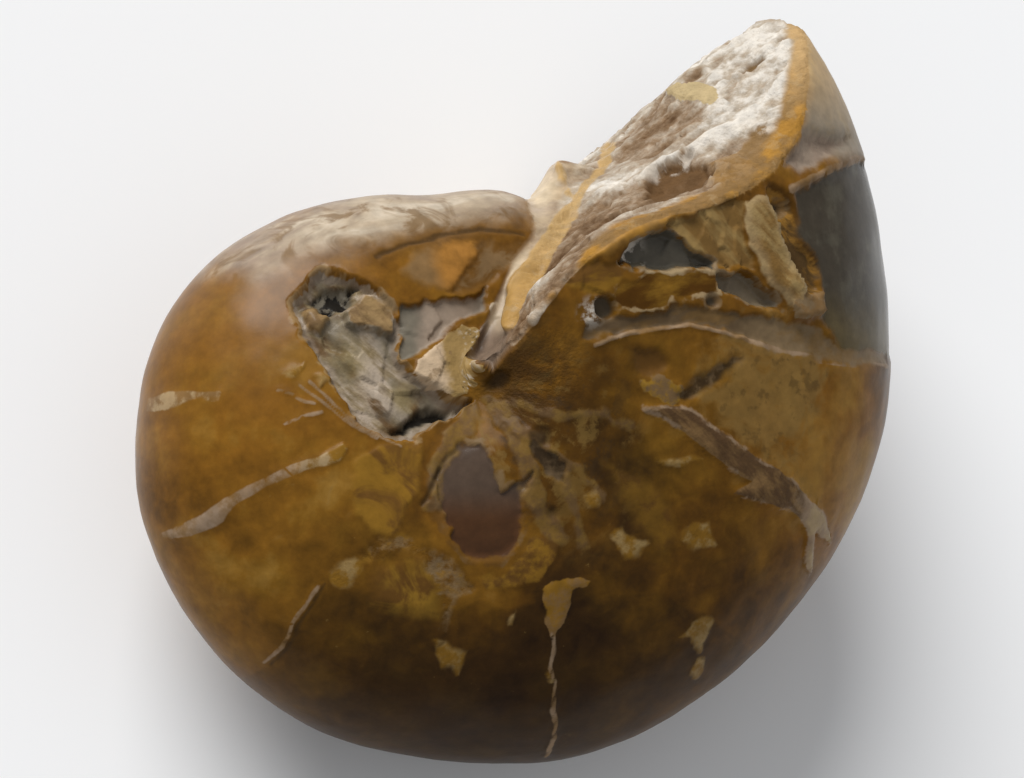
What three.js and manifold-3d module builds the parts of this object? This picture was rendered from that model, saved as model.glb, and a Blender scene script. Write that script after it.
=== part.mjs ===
// A fossil nautilus: one solid, polished stone cast of a coiled shell, lying on its far flank.
//
// The coil is built about its own axis, the pole, which stands along +Z through the middle plane z = 0.
// Angles run counter-clockwise from +X and are in degrees; the coil grows as the angle grows.
// The last whorl ends in a rough break near BREAK_ANGLE, and the whorl inside it shows in the notch.
// When the stone is finished it is tipped into the pose in which it rests, and put on the floor.
// Units are millimetres, +Z is up, and the origin is under the middle of the stone, on the floor.

import * as THREE from "three";
import { mergeVertices } from "three/addons/utils/BufferGeometryUtils.js";
import Module from "manifold-3d";

const wasm = await Module();
wasm.setup();

// ---- Driving dimensions ----

const TIP_RADIUS = 62; // from the pole to the outermost tip of the last whorl
const BREAK_ANGLE = 46; // direction of that tip
const WHORL_EXPANSION = 2.99; // how many times the radius grows in one turn
const SQUEEZE = 0.03; // the rock pressed the coil longer one way by this share, and shorter across
const SQUEEZE_TOWARDS = 18; // the direction in which it is longer
// Share of the radius that wear and polish left along the coil, as [angle, share] pairs.
const WEAR = [
  [-290, 1.05],
  [-268, 1.015],
  [-250, 0.998],
  [-225, 1.015],
  [-205, 1.035],
  [-175, 1.02],
  [-158, 1.018],
  [-140, 1.006],
  [-115, 1.012],
  [-90, 0.996],
  [-65, 1.015],
  [-30, 0.997],
  [-5, 1.007],
  [15, 0.995],
  [35, 1.009],
  [48, 1.018],
];
const FLANK_HEIGHT = 24.5; // half the thickness of the last whorl, at the break
const FLANK_EXPANSION = 1.9; // how many times the half thickness grows in one turn
const SHOULDER = 0.27; // where the whorl is thickest, as a share of its radius
const VENTER_FULLNESS = 2.15; // 2 makes the flank a plain ellipse; more fills it out
const PIT_RADIUS = 9; // the dimple round the pole, where the flanks sink in
const PIT_HEIGHT = 14.5; // half thickness of the stone at the pole
const SWELL = 0.006; // how far the polished surface swells in and out, as a share of the radius
const SWELL_SIZE = 37; // from crest to crest

const OUTER_FROM = -275; // the outer whorl's first angle
const OUTER_TO = 75; // and its last, before the break is cut
const INNER_FROM = -350; // the inner whorl that shows in the notch
const INNER_TO = -240;
const INNER_SHARE = 0.985; // the inner whorl lies just under the outer one
const INNER_BULGE = 0.15; // but swells by this share where it meets the break
const INNER_BULGE_AT = -299; // in the middle of this angle
const INNER_BULGE_REACH = 20; // fading over this many degrees

const GOLD = "#a8752c"; // the amber stone
const OUTER_STEPS = 70;
const INNER_STEPS = 20;
const PROFILE_STEPS = 15;

const REST_TILT = 9.3; // how far the coil's axis leans when the stone lies on its flank
const REST_TILT_TOWARDS = 270; // the direction in which it leans
const REST_FLAT_DEPTH = 0.6; // how much is worn flat where it touches the floor

// ---- Small helpers ----

const radians = THREE.MathUtils.degToRad;
const { clamp, lerp, smoothstep } = THREE.MathUtils;

// A point at an angle about the pole, a distance from it and a height.
const polar = (angle, distance, z) =>
  new THREE.Vector3(
    distance * Math.cos(radians(angle)),
    distance * Math.sin(radians(angle)),
    z,
  );

// A smooth curve through [x, y] pairs, read at x.
function through(pairs) {
  const curve = new THREE.CatmullRomCurve3(
    pairs.map(([x, y]) => new THREE.Vector3(x, y, 0)),
    false,
    "centripetal",
  );
  const points = curve.getPoints(pairs.length * 12);
  return (x) => {
    const next = points.findIndex((p) => p.x > x);
    if (next < 0) return points.at(-1).y;
    if (next === 0) return points[0].y;
    const [a, b] = [points[next - 1], points[next]];
    return lerp(a.y, b.y, (x - a.x) / (b.x - a.x));
  };
}

// A gentle irregular swell between -1 and 1, about `size` from crest to crest.
function swell(p, size) {
  const [x, y, z] = p.toArray().map((v) => (v * 2 * Math.PI) / size);
  return (
    (Math.sin(x + 1.3 * Math.sin(0.7 * y)) +
      Math.sin(1.1 * y - 0.9 * Math.sin(0.8 * z + 1.0)) +
      Math.sin(1.2 * z + 1.1 * Math.sin(0.6 * x + 2.0))) /
    3
  );
}

// ---- Solids ----

// A closed three.js geometry as a solid that can be joined and cut.
function solid(geometry) {
  const bare = geometry.clone();
  Object.keys(bare.attributes)
    .filter((name) => name !== "position")
    .forEach((name) => bare.deleteAttribute(name));
  const merged = mergeVertices(bare, 1e-4);
  const corners = [...merged.index.array];
  const kept = [];
  for (let i = 0; i < corners.length; i += 3) {
    const [a, b, c] = corners.slice(i, i + 3);
    if (a !== b && b !== c && c !== a) kept.push(a, b, c);
  }
  return new wasm.Manifold(
    new wasm.Mesh({
      numProp: 3,
      vertProperties: new Float32Array(merged.attributes.position.array),
      triVerts: new Uint32Array(kept),
    }),
  );
}

// The solid back as a three.js geometry.
function geometryOf(made) {
  const mesh = made.getMesh();
  const geometry = new THREE.BufferGeometry();
  geometry.setAttribute(
    "position",
    new THREE.BufferAttribute(mesh.vertProperties, 3),
  );
  geometry.setIndex(new THREE.BufferAttribute(mesh.triVerts, 1));
  geometry.computeVertexNormals();
  return geometry;
}

// Moves every vertex of a geometry to where `place` puts it.
function reshape(geometry, place) {
  const position = geometry.attributes.position;
  const p = new THREE.Vector3();
  for (let i = 0; i < position.count; i += 1) {
    const moved = place(p.fromBufferAttribute(position, i));
    position.setXYZ(i, moved.x, moved.y, moved.z);
  }
  return geometry;
}

// ---- The coil ----

const worn = through(WEAR);
const squeeze = (angle) =>
  1 + SQUEEZE * Math.cos(2 * radians(angle - SQUEEZE_TOWARDS));

const whorlRadius = (angle) =>
  TIP_RADIUS *
  squeeze(angle) *
  worn(angle) *
  WHORL_EXPANSION ** ((angle - BREAK_ANGLE) / 360);

const noBulge = () => 0;
const innerBulge = (angle) =>
  INNER_BULGE * Math.exp(-(((angle - INNER_BULGE_AT) / INNER_BULGE_REACH) ** 2));

const whorlFlank = (angle) =>
  FLANK_HEIGHT * FLANK_EXPANSION ** ((angle - BREAK_ANGLE) / 360);

// Half the thickness of the stone at an angle and a distance from the pole.
function flankAt(angle, distance) {
  const share = clamp(distance / whorlRadius(angle), 0, 1);
  const outward = clamp((share - SHOULDER) / (1 - SHOULDER), 0, 1);
  const full = whorlFlank(angle) * Math.sqrt(1 - outward ** VENTER_FULLNESS);
  return lerp(PIT_HEIGHT, full, smoothstep(distance, 0, PIT_RADIUS));
}

// The distances from the pole at which a whorl's profile has its points, closer together at the venter.
const profileShares = Array.from({ length: PROFILE_STEPS + 1 }, (_, i) =>
  Math.sin((i / PROFILE_STEPS) * (Math.PI / 2)),
);

// The polished outside of a whorl, swept about the pole and closed at both ends.
function whorl({ from, to, steps, share, bulge }) {
  const rings = [];
  for (let i = 0; i <= steps; i += 1) {
    const angle = lerp(from, to, i / steps);
    const side = (sign) =>
      profileShares.map((s) => {
        const distance = s * whorlRadius(angle);
        const z = sign * flankAt(angle, distance) * share;
        const p = polar(angle, distance * (share + bulge(angle)), z);
        return p.multiplyScalar(1 + SWELL * swell(p, SWELL_SIZE) * s);
      });
    rings.push([side(1), side(-1)]);
  }
  const position = [];
  const triangle = (a, b, c) => position.push(...a, ...b, ...c);
  const quad = (a, b, c, d) => {
    triangle(a, b, c);
    triangle(a, c, d);
  };
  for (let i = 0; i < steps; i += 1) {
    const [[topA, lowA], [topB, lowB]] = [rings[i], rings[i + 1]];
    for (let j = 0; j < PROFILE_STEPS; j += 1) {
      quad(topA[j], topA[j + 1], topB[j + 1], topB[j]);
      quad(lowA[j], lowB[j], lowB[j + 1], lowA[j + 1]);
    }
  }
  const cap = ([top, low], turned) => {
    for (let j = 0; j < PROFILE_STEPS; j += 1) {
      const corners = [top[j], low[j], low[j + 1], top[j + 1]];
      quad(...(turned ? corners : corners.reverse()));
    }
  };
  cap(rings[0], true);
  cap(rings.at(-1), false);
  return new THREE.BufferGeometry().setAttribute(
    "position",
    new THREE.Float32BufferAttribute(position, 3),
  );
}

const OUTER = {
  from: OUTER_FROM,
  to: OUTER_TO,
  steps: OUTER_STEPS,
  share: 1,
  bulge: noBulge,
};
const INNER = {
  from: INNER_FROM,
  to: INNER_TO,
  steps: INNER_STEPS,
  share: INNER_SHARE,
  bulge: innerBulge,
};

// ---- The break at the mouth ----

// Angle of the break by distance from the pole: on the near flank, in the middle plane, on the far flank.
const nearEdge = through([
  [4, 58],
  [10, 57],
  [22, 49],
  [33, 38],
  [39, 36],
  [47, 37],
  [54, 41],
  [60, 44.5],
  [66, 45.5],
]);
const middleEdge = through([
  [4, 60],
  [30, 54],
  [38, 51.5],
  [48, 50.5],
  [56, 49],
  [61, 47.5],
  [66, 45.5],
]);
const farEdge = through([
  [4, 60],
  [30, 54.5],
  [38, 50.5],
  [48, 48.5],
  [56, 47],
  [66, 45.5],
]);
const BREAK_SLANT = 1.15; // above 1, the break keeps to the middle plane's edge for longer
const CRAGS = 1.3; // how rough the break is, in degrees at 10 mm from the pole
const CRAG_SIZE = 9;
const LEDGE_ANGLE = 61; // the smooth wall that stands on the inner whorl
const LEDGE_FALL = 12; // how far it falls back towards the far flank
const LEDGE_FALL_DEPTH = 16; // over this depth below the middle plane
const LEDGE_FROM = 10; // its nearest point to the pole
const LEDGE_RADIUS = 34; // how far out it reaches
const LEDGE_NEAR_HEIGHT = 17; // and how high up the near flank
const LEDGE_STEP = 1.2; // how softly it meets the rough break

// The angle at which the whorl is broken off, at a distance from the pole and a height.
function breakAngle(distance, z) {
  const flank = Math.max(flankAt(BREAK_ANGLE - 6, distance), 1);
  const lift = clamp(Math.abs(z) / flank, 0, 1.1);
  const edge = z > 0 ? nearEdge : farEdge;
  const rough = lerp(middleEdge(distance), edge(distance), lift ** BREAK_SLANT);
  const outward = (distance - LEDGE_FROM) / (LEDGE_RADIUS - LEDGE_FROM);
  const below = LEDGE_NEAR_HEIGHT * (1 - outward) - z;
  const ledge =
    smoothstep(below, -LEDGE_STEP, LEDGE_STEP) *
    (1 - smoothstep(distance, LEDGE_RADIUS - LEDGE_STEP, LEDGE_RADIUS + LEDGE_STEP));
  const crags = CRAGS * swell(new THREE.Vector3(distance, -z, 0), CRAG_SIZE);
  const fall = LEDGE_FALL * smoothstep(-z, 0, LEDGE_FALL_DEPTH);
  return lerp(rough + (crags * 20) / (distance + 10), LEDGE_ANGLE - fall, ledge);
}

const CUTTER_FROM = 4; // the pole itself is left whole
const CUTTER_REACH = 88; // well past the tip
const CUTTER_HEIGHT = 34; // well past both flanks

// Everything ahead of the break, from near the pole outwards.
function breakCutter() {
  const block = new THREE.BoxGeometry(1, 1, 1, 24, 1, 26);
  return reshape(block, (p) => {
    const distance = lerp(CUTTER_FROM, CUTTER_REACH, p.x + 0.5);
    const z = lerp(-CUTTER_HEIGHT, CUTTER_HEIGHT, p.z + 0.5);
    const angle = p.y > 0 ? OUTER_TO + 5 : breakAngle(distance, z);
    return polar(angle, distance, z);
  });
}

// ---- What stands out of the flanks and what is broken out of them ----

// A point on a flank: side 1 is the near flank and -1 the far one.
const onFlank = (angle, distance, side) =>
  polar(angle, distance, side * flankAt(angle, distance));

const SUTURE_PROUD = 0.45; // how far a chamber wall's edge stands out of the flank

// The edge of a chamber wall, standing a little out of the flank along its course.
function suture({ course, side, width }) {
  const line = new THREE.SplineCurve(course.map((p) => new THREE.Vector2(...p)));
  const sunk = width / 2 - SUTURE_PROUD;
  const path = new THREE.CatmullRomCurve3(
    line.getPoints(course.length * 3).map((p) => {
      const point = onFlank(p.x, p.y, side);
      return point.multiplyScalar(1 - sunk / point.length());
    }),
  );
  const section = new THREE.Shape();
  section.absarc(0, 0, width / 2, 0, 2 * Math.PI);
  return new THREE.ExtrudeGeometry(section, {
    steps: course.length * 3,
    curveSegments: 5,
    extrudePath: path,
    bevelEnabled: false,
  });
}

// Courses run outwards as [angle, distance from the pole], with the angles of the outer whorl.
const SUTURES = [
  { side: 1, width: 1.8, course: [[-5, 18], [-11, 25], [-16, 31], [-16, 37], [-18, 42], [-21, 48]] },
  { side: 1, width: 1.4, course: [[22, 12], [21, 18], [17, 24], [11, 30], [7, 38], [5, 45], [5, 51]] },
  { side: 1, width: 1.4, course: [[-154, 16], [-156, 21], [-155, 27], [-153, 31], [-153, 34]] },
  { side: 1, width: 1.3, course: [[-179, 26], [-178, 29], [-179, 31]] },
  { side: 1, width: 1.2, course: [[-68, 23], [-72, 29], [-73, 34], [-72, 40]] },
  { side: -1, width: 1.6, course: [[-9, 22], [-14, 30], [-17, 38], [-18, 46], [-17, 51]] },
  { side: -1, width: 1.3, course: [[24, 20], [17, 30], [12, 40], [11, 50]] },
  { side: -1, width: 1.3, course: [[-64, 19], [-69, 28], [-71, 36]] },
  { side: -1, width: 1.3, course: [[-124, 16], [-128, 25], [-129, 33]] },
  { side: -1, width: 1.2, course: [[-188, 15], [-192, 22], [-194, 28]] },
];

// Places where the shell is broken away down to the next layer: a lumpy hollow on a flank.
const HOLLOWS = [
  { side: 1, angle: -203, distance: 11.5, reach: [10.5, 5], turn: -49, depth: 2.4 },
  { side: 1, angle: -90, distance: 13, reach: [5, 6.3], turn: 0, depth: 0.8 },
  { side: -1, angle: -150, distance: 13, reach: [7, 5], turn: 40, depth: 1.8 },
];

const HOLLOW_WOBBLE = 0.13; // how uneven a hollow's outline is

function hollow({ side, angle, distance, reach, turn, depth }) {
  const lump = new THREE.IcosahedronGeometry(1, 3);
  const centre = onFlank(angle, distance, side);
  const matrix = new THREE.Matrix4()
    .makeTranslation(centre.x, centre.y, centre.z)
    .multiply(new THREE.Matrix4().makeRotationZ(radians(turn)));
  return reshape(lump, (p) => {
    const wobble = 1 + HOLLOW_WOBBLE * swell(p, 1.3);
    p.set(p.x * reach[0], p.y * reach[1], p.z * depth);
    return p.multiplyScalar(wobble).applyMatrix4(matrix).clone();
  });
}

// ---- Putting the stone together ----

function stone() {
  const outer = solid(whorl(OUTER));
  const inner = solid(whorl(INNER));
  const coil = outer.subtract(solid(breakCutter())).add(inner);
  const ribbed = SUTURES.reduce((s, one) => s.add(solid(suture(one))), coil);
  return HOLLOWS.reduce((s, one) => s.subtract(solid(hollow(one))), ribbed);
}

// Tips a geometry about the pole's foot, so that its axis leans the way a stone on its flank does.
function tipped(geometry) {
  const axis = polar(REST_TILT_TOWARDS + 90, 1, 0);
  const turn = new THREE.Matrix4().makeRotationAxis(axis, radians(REST_TILT));
  return geometry.applyMatrix4(turn);
}

// Wears the lowest places flat, and stands the stone on them with the origin under its middle.
function settled(geometry) {
  geometry.computeBoundingBox();
  const { min, max } = geometry.boundingBox;
  const floor = new THREE.BoxGeometry(200, 200, 20);
  floor.translate(0, 0, min.z + REST_FLAT_DEPTH - 10);
  const worn = geometryOf(solid(geometry).subtract(solid(floor)));
  worn.translate(
    -(min.x + max.x) / 2,
    -(min.y + max.y) / 2,
    -(min.z + REST_FLAT_DEPTH),
  );
  return worn;
}

const fossil = new THREE.Mesh(
  settled(tipped(geometryOf(stone()))),
  new THREE.MeshStandardMaterial({ color: GOLD, roughness: 0.3, metalness: 0 }),
);
fossil.name = "fossil";

const group = new THREE.Group();
group.add(fossil);

export default group;
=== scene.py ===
# %% [markdown]
# # A polished nautiloid fossil
#
# The object is one stone: the mineral cast of a coiled shell, ground and polished by hand until the layers
# and chambers inside show through, and broken off rough at the mouth. This lesson builds it in four steps:
# the coil from its growth rule, the break, the places where layers are split away, and the finish.

import itertools
import math

import bpy
import bmesh
import numpy as np
from mathutils import Matrix, Vector


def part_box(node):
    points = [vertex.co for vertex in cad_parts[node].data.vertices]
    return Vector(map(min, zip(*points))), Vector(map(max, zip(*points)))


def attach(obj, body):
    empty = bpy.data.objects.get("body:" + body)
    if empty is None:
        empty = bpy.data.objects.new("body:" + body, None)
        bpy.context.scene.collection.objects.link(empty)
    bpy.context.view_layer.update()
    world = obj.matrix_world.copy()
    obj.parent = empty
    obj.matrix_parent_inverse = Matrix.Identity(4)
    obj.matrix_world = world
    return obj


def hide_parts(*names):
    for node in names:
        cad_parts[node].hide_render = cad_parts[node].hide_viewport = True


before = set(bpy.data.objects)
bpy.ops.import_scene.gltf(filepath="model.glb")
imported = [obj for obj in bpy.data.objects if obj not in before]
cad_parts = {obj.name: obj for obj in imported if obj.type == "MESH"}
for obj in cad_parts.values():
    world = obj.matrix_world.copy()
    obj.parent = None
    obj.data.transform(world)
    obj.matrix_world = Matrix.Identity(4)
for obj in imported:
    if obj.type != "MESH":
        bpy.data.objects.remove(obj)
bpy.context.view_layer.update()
stone_low, stone_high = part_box("fossil")
MM = 0.001
print("solid stone, mm:", [round(side / MM, 1) for side in stone_high - stone_low])

# %% [markdown]
# ## Working in the coil's own frame
#
# A shell grows about its pole, so everything is shaped there first: the pole stands along +Z, z = 0 is the
# plane that halves the coil, and the near flank is the one with z above 0. Sizes are in millimetres. The
# stone lies tilted on its far flank, so one matrix at the end turns the finished mesh and sets it on the
# floor.

# %% The driving sizes
TIP_RADIUS = 62.0
TIP_ANGLE = 46.0
WHORL_EXPANSION = 2.99
SQUEEZE = 0.03
SQUEEZE_TOWARDS = 18.0
FLANK_HEIGHT = 24.5
FLANK_EXPANSION = 1.9
SHOULDER = 0.27
VENTER_FULLNESS = 2.15
PIT_RADIUS = 9.0
PIT_HEIGHT = 14.5
OUTER_FROM = -275.0
OUTER_TO = 75.0
REST_TILT = 9.3

# Share of the radius that wear left along the coil, as (angle, share) pairs.
WEAR = [
    (-350, 1.05), (-290, 1.05), (-268, 1.015), (-250, 0.998), (-225, 1.015), (-205, 1.035), (-175, 1.02),
    (-158, 1.018), (-140, 1.006), (-115, 1.012), (-90, 0.996), (-65, 1.015), (-30, 0.997), (-5, 1.007),
    (15, 0.995), (35, 1.009), (48, 1.018), (75, 1.018),
]


def through(pairs):
    """A smooth curve through (x, y) pairs, as a function that reads many x at once."""
    x, y = np.array(pairs, float).T
    slope = np.gradient(y, x)

    def read(at):
        at = np.clip(at, x[0], x[-1])
        k = np.clip(np.searchsorted(x, at) - 1, 0, len(x) - 2)
        span = x[k + 1] - x[k]
        t = (at - x[k]) / span
        start = (1 + 2 * t) * (1 - t) ** 2 * y[k] + t * (1 - t) ** 2 * span * slope[k]
        return start + t * t * (3 - 2 * t) * y[k + 1] + t * t * (t - 1) * span * slope[k + 1]

    return read


def ease(value, low, high):
    """0 below low, 1 above high, and smooth between them."""
    t = np.clip((value - low) / (high - low), 0, 1)
    return t * t * (3 - 2 * t)


worn = through(WEAR)


def whorl_radius(angle):
    squeezed = 1 + SQUEEZE * np.cos(2 * np.radians(angle - SQUEEZE_TOWARDS))
    return TIP_RADIUS * squeezed * worn(angle) * WHORL_EXPANSION ** ((angle - TIP_ANGLE) / 360)


def flank_at(angle, distance):
    """Half the thickness of the stone at an angle and a distance from the pole."""
    share = np.clip(distance / whorl_radius(angle), 0, 1)
    outward = np.clip((share - SHOULDER) / (1 - SHOULDER), 0, 1)
    grown = FLANK_EXPANSION ** ((angle - TIP_ANGLE) / 360)
    full = FLANK_HEIGHT * grown * np.sqrt(1 - outward**VENTER_FULLNESS)
    return PIT_HEIGHT + (full - PIT_HEIGHT) * ease(distance, 0, PIT_RADIUS)


at_tip, behind_tip = whorl_radius(TIP_ANGLE), whorl_radius(TIP_ANGLE - 180)
print("radius at the tip and half a turn behind it:", at_tip.round(1), behind_tip.round(1))

# %% [markdown]
# ## Python arithmetic on sockets
#
# Geometry and shader trees share the same Math nodes. Wiring dozens of them by hand is slow to read, so
# one small class wraps a socket: `a * 2 + b` adds the nodes. Every other node goes in by one method,
# `add`, which sets what the node is before it links its inputs, because some nodes only show their sockets
# then.

# %% A socket that does arithmetic
class Wire:
    """A socket of one tree, on which the signs +, -, * and / add Math nodes."""

    def __init__(self, tree, socket):
        self.tree = tree
        self.socket = socket

    def math(self, operation, *others, clamp=False):
        node = self.tree.nodes.new("ShaderNodeMath")
        node.operation = operation
        node.use_clamp = clamp
        for socket, value in zip(node.inputs, (self, *others)):
            plug(self.tree, value, socket)
        return Wire(self.tree, node.outputs[0])

    def __add__(self, other):
        return self.math("ADD", other)

    def __sub__(self, other):
        return self.math("SUBTRACT", other)

    def __rsub__(self, other):
        return self * -1 + other

    def __mul__(self, other):
        return self.math("MULTIPLY", other)

    def __truediv__(self, other):
        return self.math("DIVIDE", other)

    __radd__ = __add__
    __rmul__ = __mul__


def plug(tree, value, socket):
    """Links a wire to a socket, or sets the socket to a number, a colour or a name."""
    if isinstance(value, Wire):
        tree.links.new(value.socket, socket)
    else:
        socket.default_value = value


class Bench:
    """Adds nodes to one tree: their type, then their settings, then what goes into their sockets."""

    def __init__(self, tree):
        self.tree = tree

    def add(self, kind, settings=None, inputs=None, out=0):
        node = self.tree.nodes.new(kind)
        for name, value in (settings or {}).items():
            if name == "stops":
                set_stops(node.color_ramp, value)
            elif name == "points":
                set_points(node.mapping, value)
            else:
                setattr(node, name, value)
        for name, value in (inputs or {}).items():
            plug(self.tree, value, node.inputs[name])
        return Wire(self.tree, node.outputs[out])


def set_stops(ramp, stops):
    while len(ramp.elements) < len(stops):
        ramp.elements.new(1)
    for element, (place, colour) in zip(ramp.elements, stops):
        element.position = place
        element.color = colour


def set_points(mapping, points):
    curve = mapping.curves[0]
    while len(curve.points) < len(points):
        curve.points.new(1, 1)
    for point, place in zip(curve.points, points):
        point.location = place
    mapping.use_clip = False
    mapping.update()


# %% [markdown]
# ## The coil
#
# A nautilus adds to its shell in the same proportions all its life, so its outline is a logarithmic
# spiral: each turn is about three times as wide as the one before. That is a rule, which Geometry Nodes
# can hold. A grid is bent onto it: along the grid runs the angle, and across it the section, from the near
# pole over the venter, the outer edge, to the far pole. The first and last rows fold together in the
# middle of a section, which closes the ends, and Merge by Distance welds what coincides.

# %% The whorl tree
WHORL_INPUTS = {
    "Tip Radius": TIP_RADIUS, "Tip Angle": TIP_ANGLE, "Whorl Expansion": WHORL_EXPANSION,
    "Squeeze": SQUEEZE, "Squeeze Towards": SQUEEZE_TOWARDS,
    "Flank Height": FLANK_HEIGHT, "Flank Expansion": FLANK_EXPANSION, "Shoulder": SHOULDER,
    "Venter Fullness": VENTER_FULLNESS, "Pit Radius": PIT_RADIUS, "Pit Height": PIT_HEIGHT,
    "From": OUTER_FROM, "To": OUTER_TO, "Share": 1.0,
    "Bulge": 0.0, "Bulge At": -299.0, "Bulge Reach": 20.0,
}
WHORL_STEPS = 140
SECTION_STEPS = 56
CORE = 0.45  # how far out, as a share of the radius, the closed ends are gathered
WELD = 0.01


def whorl_tree():
    tree = bpy.data.node_groups.new("Whorl", "GeometryNodeTree")
    tree.interface.new_socket("Geometry", in_out="OUTPUT", socket_type="NodeSocketGeometry")
    for name, value in WHORL_INPUTS.items():
        socket = tree.interface.new_socket(name, in_out="INPUT", socket_type="NodeSocketFloat")
        socket.default_value = value
    tree.interface.new_socket("Stone", in_out="INPUT", socket_type="NodeSocketMaterial")
    bench = Bench(tree)
    given = tree.nodes.new("NodeGroupInput")
    size = {name: Wire(tree, given.outputs[name]) for name in WHORL_INPUTS}

    rows = WHORL_STEPS + 3
    columns = SECTION_STEPS + 2
    grid = tree.nodes.new("GeometryNodeMeshGrid")
    grid.inputs["Size X"].default_value = 1
    grid.inputs["Size Y"].default_value = 1
    grid.inputs["Vertices X"].default_value = rows
    grid.inputs["Vertices Y"].default_value = columns
    place = tree.nodes.new("ShaderNodeSeparateXYZ")
    tree.links.new(bench.add("GeometryNodeInputPosition").socket, place.inputs[0])
    row = (Wire(tree, place.outputs[0]) + 0.5) * (rows - 1)
    column = (Wire(tree, place.outputs[1]) + 0.5) * (columns - 1)

    # Across: 0 at the near pole, 1 at the far one, and back to 0 in the last column, which closes the ends.
    across = column / SECTION_STEPS
    across = across * across.math("LESS_THAN", 1 + 0.5 / SECTION_STEPS)
    outward = (across * math.pi).math("SINE")
    near = 1 - across.math("GREATER_THAN", 0.5) * 2

    # Along: the angle. The first and last rows are folded into the middle of their section.
    along = (row - 1) / WHORL_STEPS
    angle = size["From"] + (size["To"] - size["From"]) * along.math("ADD", 0, clamp=True)
    folded = row.math("LESS_THAN", 0.5).math("MAXIMUM", row.math("GREATER_THAN", rows - 1.5))
    turns = (angle - size["Tip Angle"]) / 360
    wear_low, wear_high = WEAR[0][0], WEAR[-1][0]
    wear_at = (angle - wear_low) / (wear_high - wear_low)
    points = [((a - wear_low) / (wear_high - wear_low), share) for a, share in WEAR]
    wear = bench.add("ShaderNodeFloatCurve", {"points": points}, {"Value": wear_at})
    squeezed = 1 + size["Squeeze"] * ((angle - size["Squeeze Towards"]) * (math.pi / 90)).math("COSINE")
    radius = size["Tip Radius"] * squeezed * wear * size["Whorl Expansion"].math("POWER", turns)

    # The section: half an oval from the shoulder out, sunk to the pit at the pole.
    beyond = ((outward - size["Shoulder"]) / (1 - size["Shoulder"])).math("ADD", 0, clamp=True)
    oval = (1 - beyond.math("POWER", size["Venter Fullness"])).math("MAXIMUM", 0).math("SQRT")
    full = size["Flank Height"] * size["Flank Expansion"].math("POWER", turns) * oval
    distance = outward * radius
    out_of_pit = bench.add(
        "ShaderNodeMapRange", {"interpolation_type": "SMOOTHSTEP"},
        {"Value": distance, "From Min": 0.0, "From Max": size["Pit Radius"]},
    )
    height = near * (size["Pit Height"] + (full - size["Pit Height"]) * out_of_pit) * size["Share"]
    away = (angle - size["Bulge At"]) / size["Bulge Reach"]
    bulge = size["Bulge"] * (away * away * -1).math("EXPONENT")
    reach = distance * (size["Share"] + bulge)
    reach = reach * (1 - folded) + radius * CORE * folded
    height = height * (1 - folded)

    turn = angle * (math.pi / 180)
    spot = bench.add(
        "ShaderNodeCombineXYZ",
        inputs={"X": reach * turn.math("COSINE"), "Y": reach * turn.math("SINE"), "Z": height},
    )
    flat_grid = Wire(tree, grid.outputs[0])
    bent = bench.add("GeometryNodeSetPosition", inputs={"Geometry": flat_grid, "Position": spot})
    welded = bench.add("GeometryNodeMergeByDistance", inputs={"Geometry": bent, "Distance": WELD})
    real = bench.add("GeometryNodeRealizeInstances", inputs={"Geometry": welded})
    stone = Wire(tree, given.outputs["Stone"])
    finished = bench.add("GeometryNodeSetMaterial", inputs={"Geometry": real, "Material": stone})
    result = tree.nodes.new("NodeGroupOutput")
    tree.links.new(finished.socket, result.inputs[0])
    return tree


def plain_mesh(source, name):
    """The mesh that an object's modifiers make, as a new object with no modifier. The source is removed."""
    seen = source.evaluated_get(bpy.context.evaluated_depsgraph_get())
    made = bpy.data.objects.new(name, bpy.data.meshes.new_from_object(seen))
    bpy.context.scene.collection.objects.link(made)
    bpy.data.objects.remove(source)
    return made


def face_outwards(thing):
    work = bmesh.new()
    work.from_mesh(thing.data)
    bmesh.ops.remove_doubles(work, verts=work.verts, dist=1e-3)
    bmesh.ops.recalc_face_normals(work, faces=work.faces)
    work.to_mesh(thing.data)
    work.free()


def whorl(name, tree, **changed):
    holder = bpy.data.objects.new(name + "_source", bpy.data.meshes.new(name + "_source"))
    bpy.context.scene.collection.objects.link(holder)
    modifier = holder.modifiers.new("Whorl", "NODES")
    modifier.node_group = tree
    for socket in tree.interface.items_tree:
        if socket.in_out == "INPUT" and socket.name in changed:
            modifier[socket.identifier] = changed[socket.name]
    made = plain_mesh(holder, name)
    face_outwards(made)
    print(name, "has", len(made.data.vertices), "vertices")
    return made


# The inner whorl shows only in the notch: the same coil further back, a little smaller, with one swelling.
INNER_WHORL = {"From": -350.0, "To": -240.0, "Share": 0.985, "Bulge": 0.15}
coil = whorl_tree()
outer = whorl("outer_whorl", coil)
inner = whorl("inner_whorl", coil, **INNER_WHORL)

# %% [markdown]
# ## Natural unevenness
#
# Stone is never even, and a texture node can't move a vertex here, because the relief has to be in the mesh
# itself. So two small functions give soft clouds and split facets as arrays, from seeded random numbers.

# %% Clouds and facets
LATTICE = 32


def clouds(points, size, seed, octaves=2):
    """Soft swells between about -1 and 1, `size` mm from one to the next."""
    table = np.random.default_rng(seed).random((LATTICE, LATTICE, LATTICE)) * 2 - 1
    total = np.zeros(len(points))
    strength = 1.0
    for octave in range(octaves):
        cell = points * (2**octave / size) + 7.3 * octave
        low = np.floor(cell).astype(int)
        part = cell - low
        part = part * part * (3 - 2 * part)
        for corner in itertools.product((0, 1), repeat=3):
            x, y, z = ((low + corner) % LATTICE).T
            total += strength * table[x, y, z] * np.prod(np.where(corner, part, 1 - part), axis=1)
        strength /= 2
    return total


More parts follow.
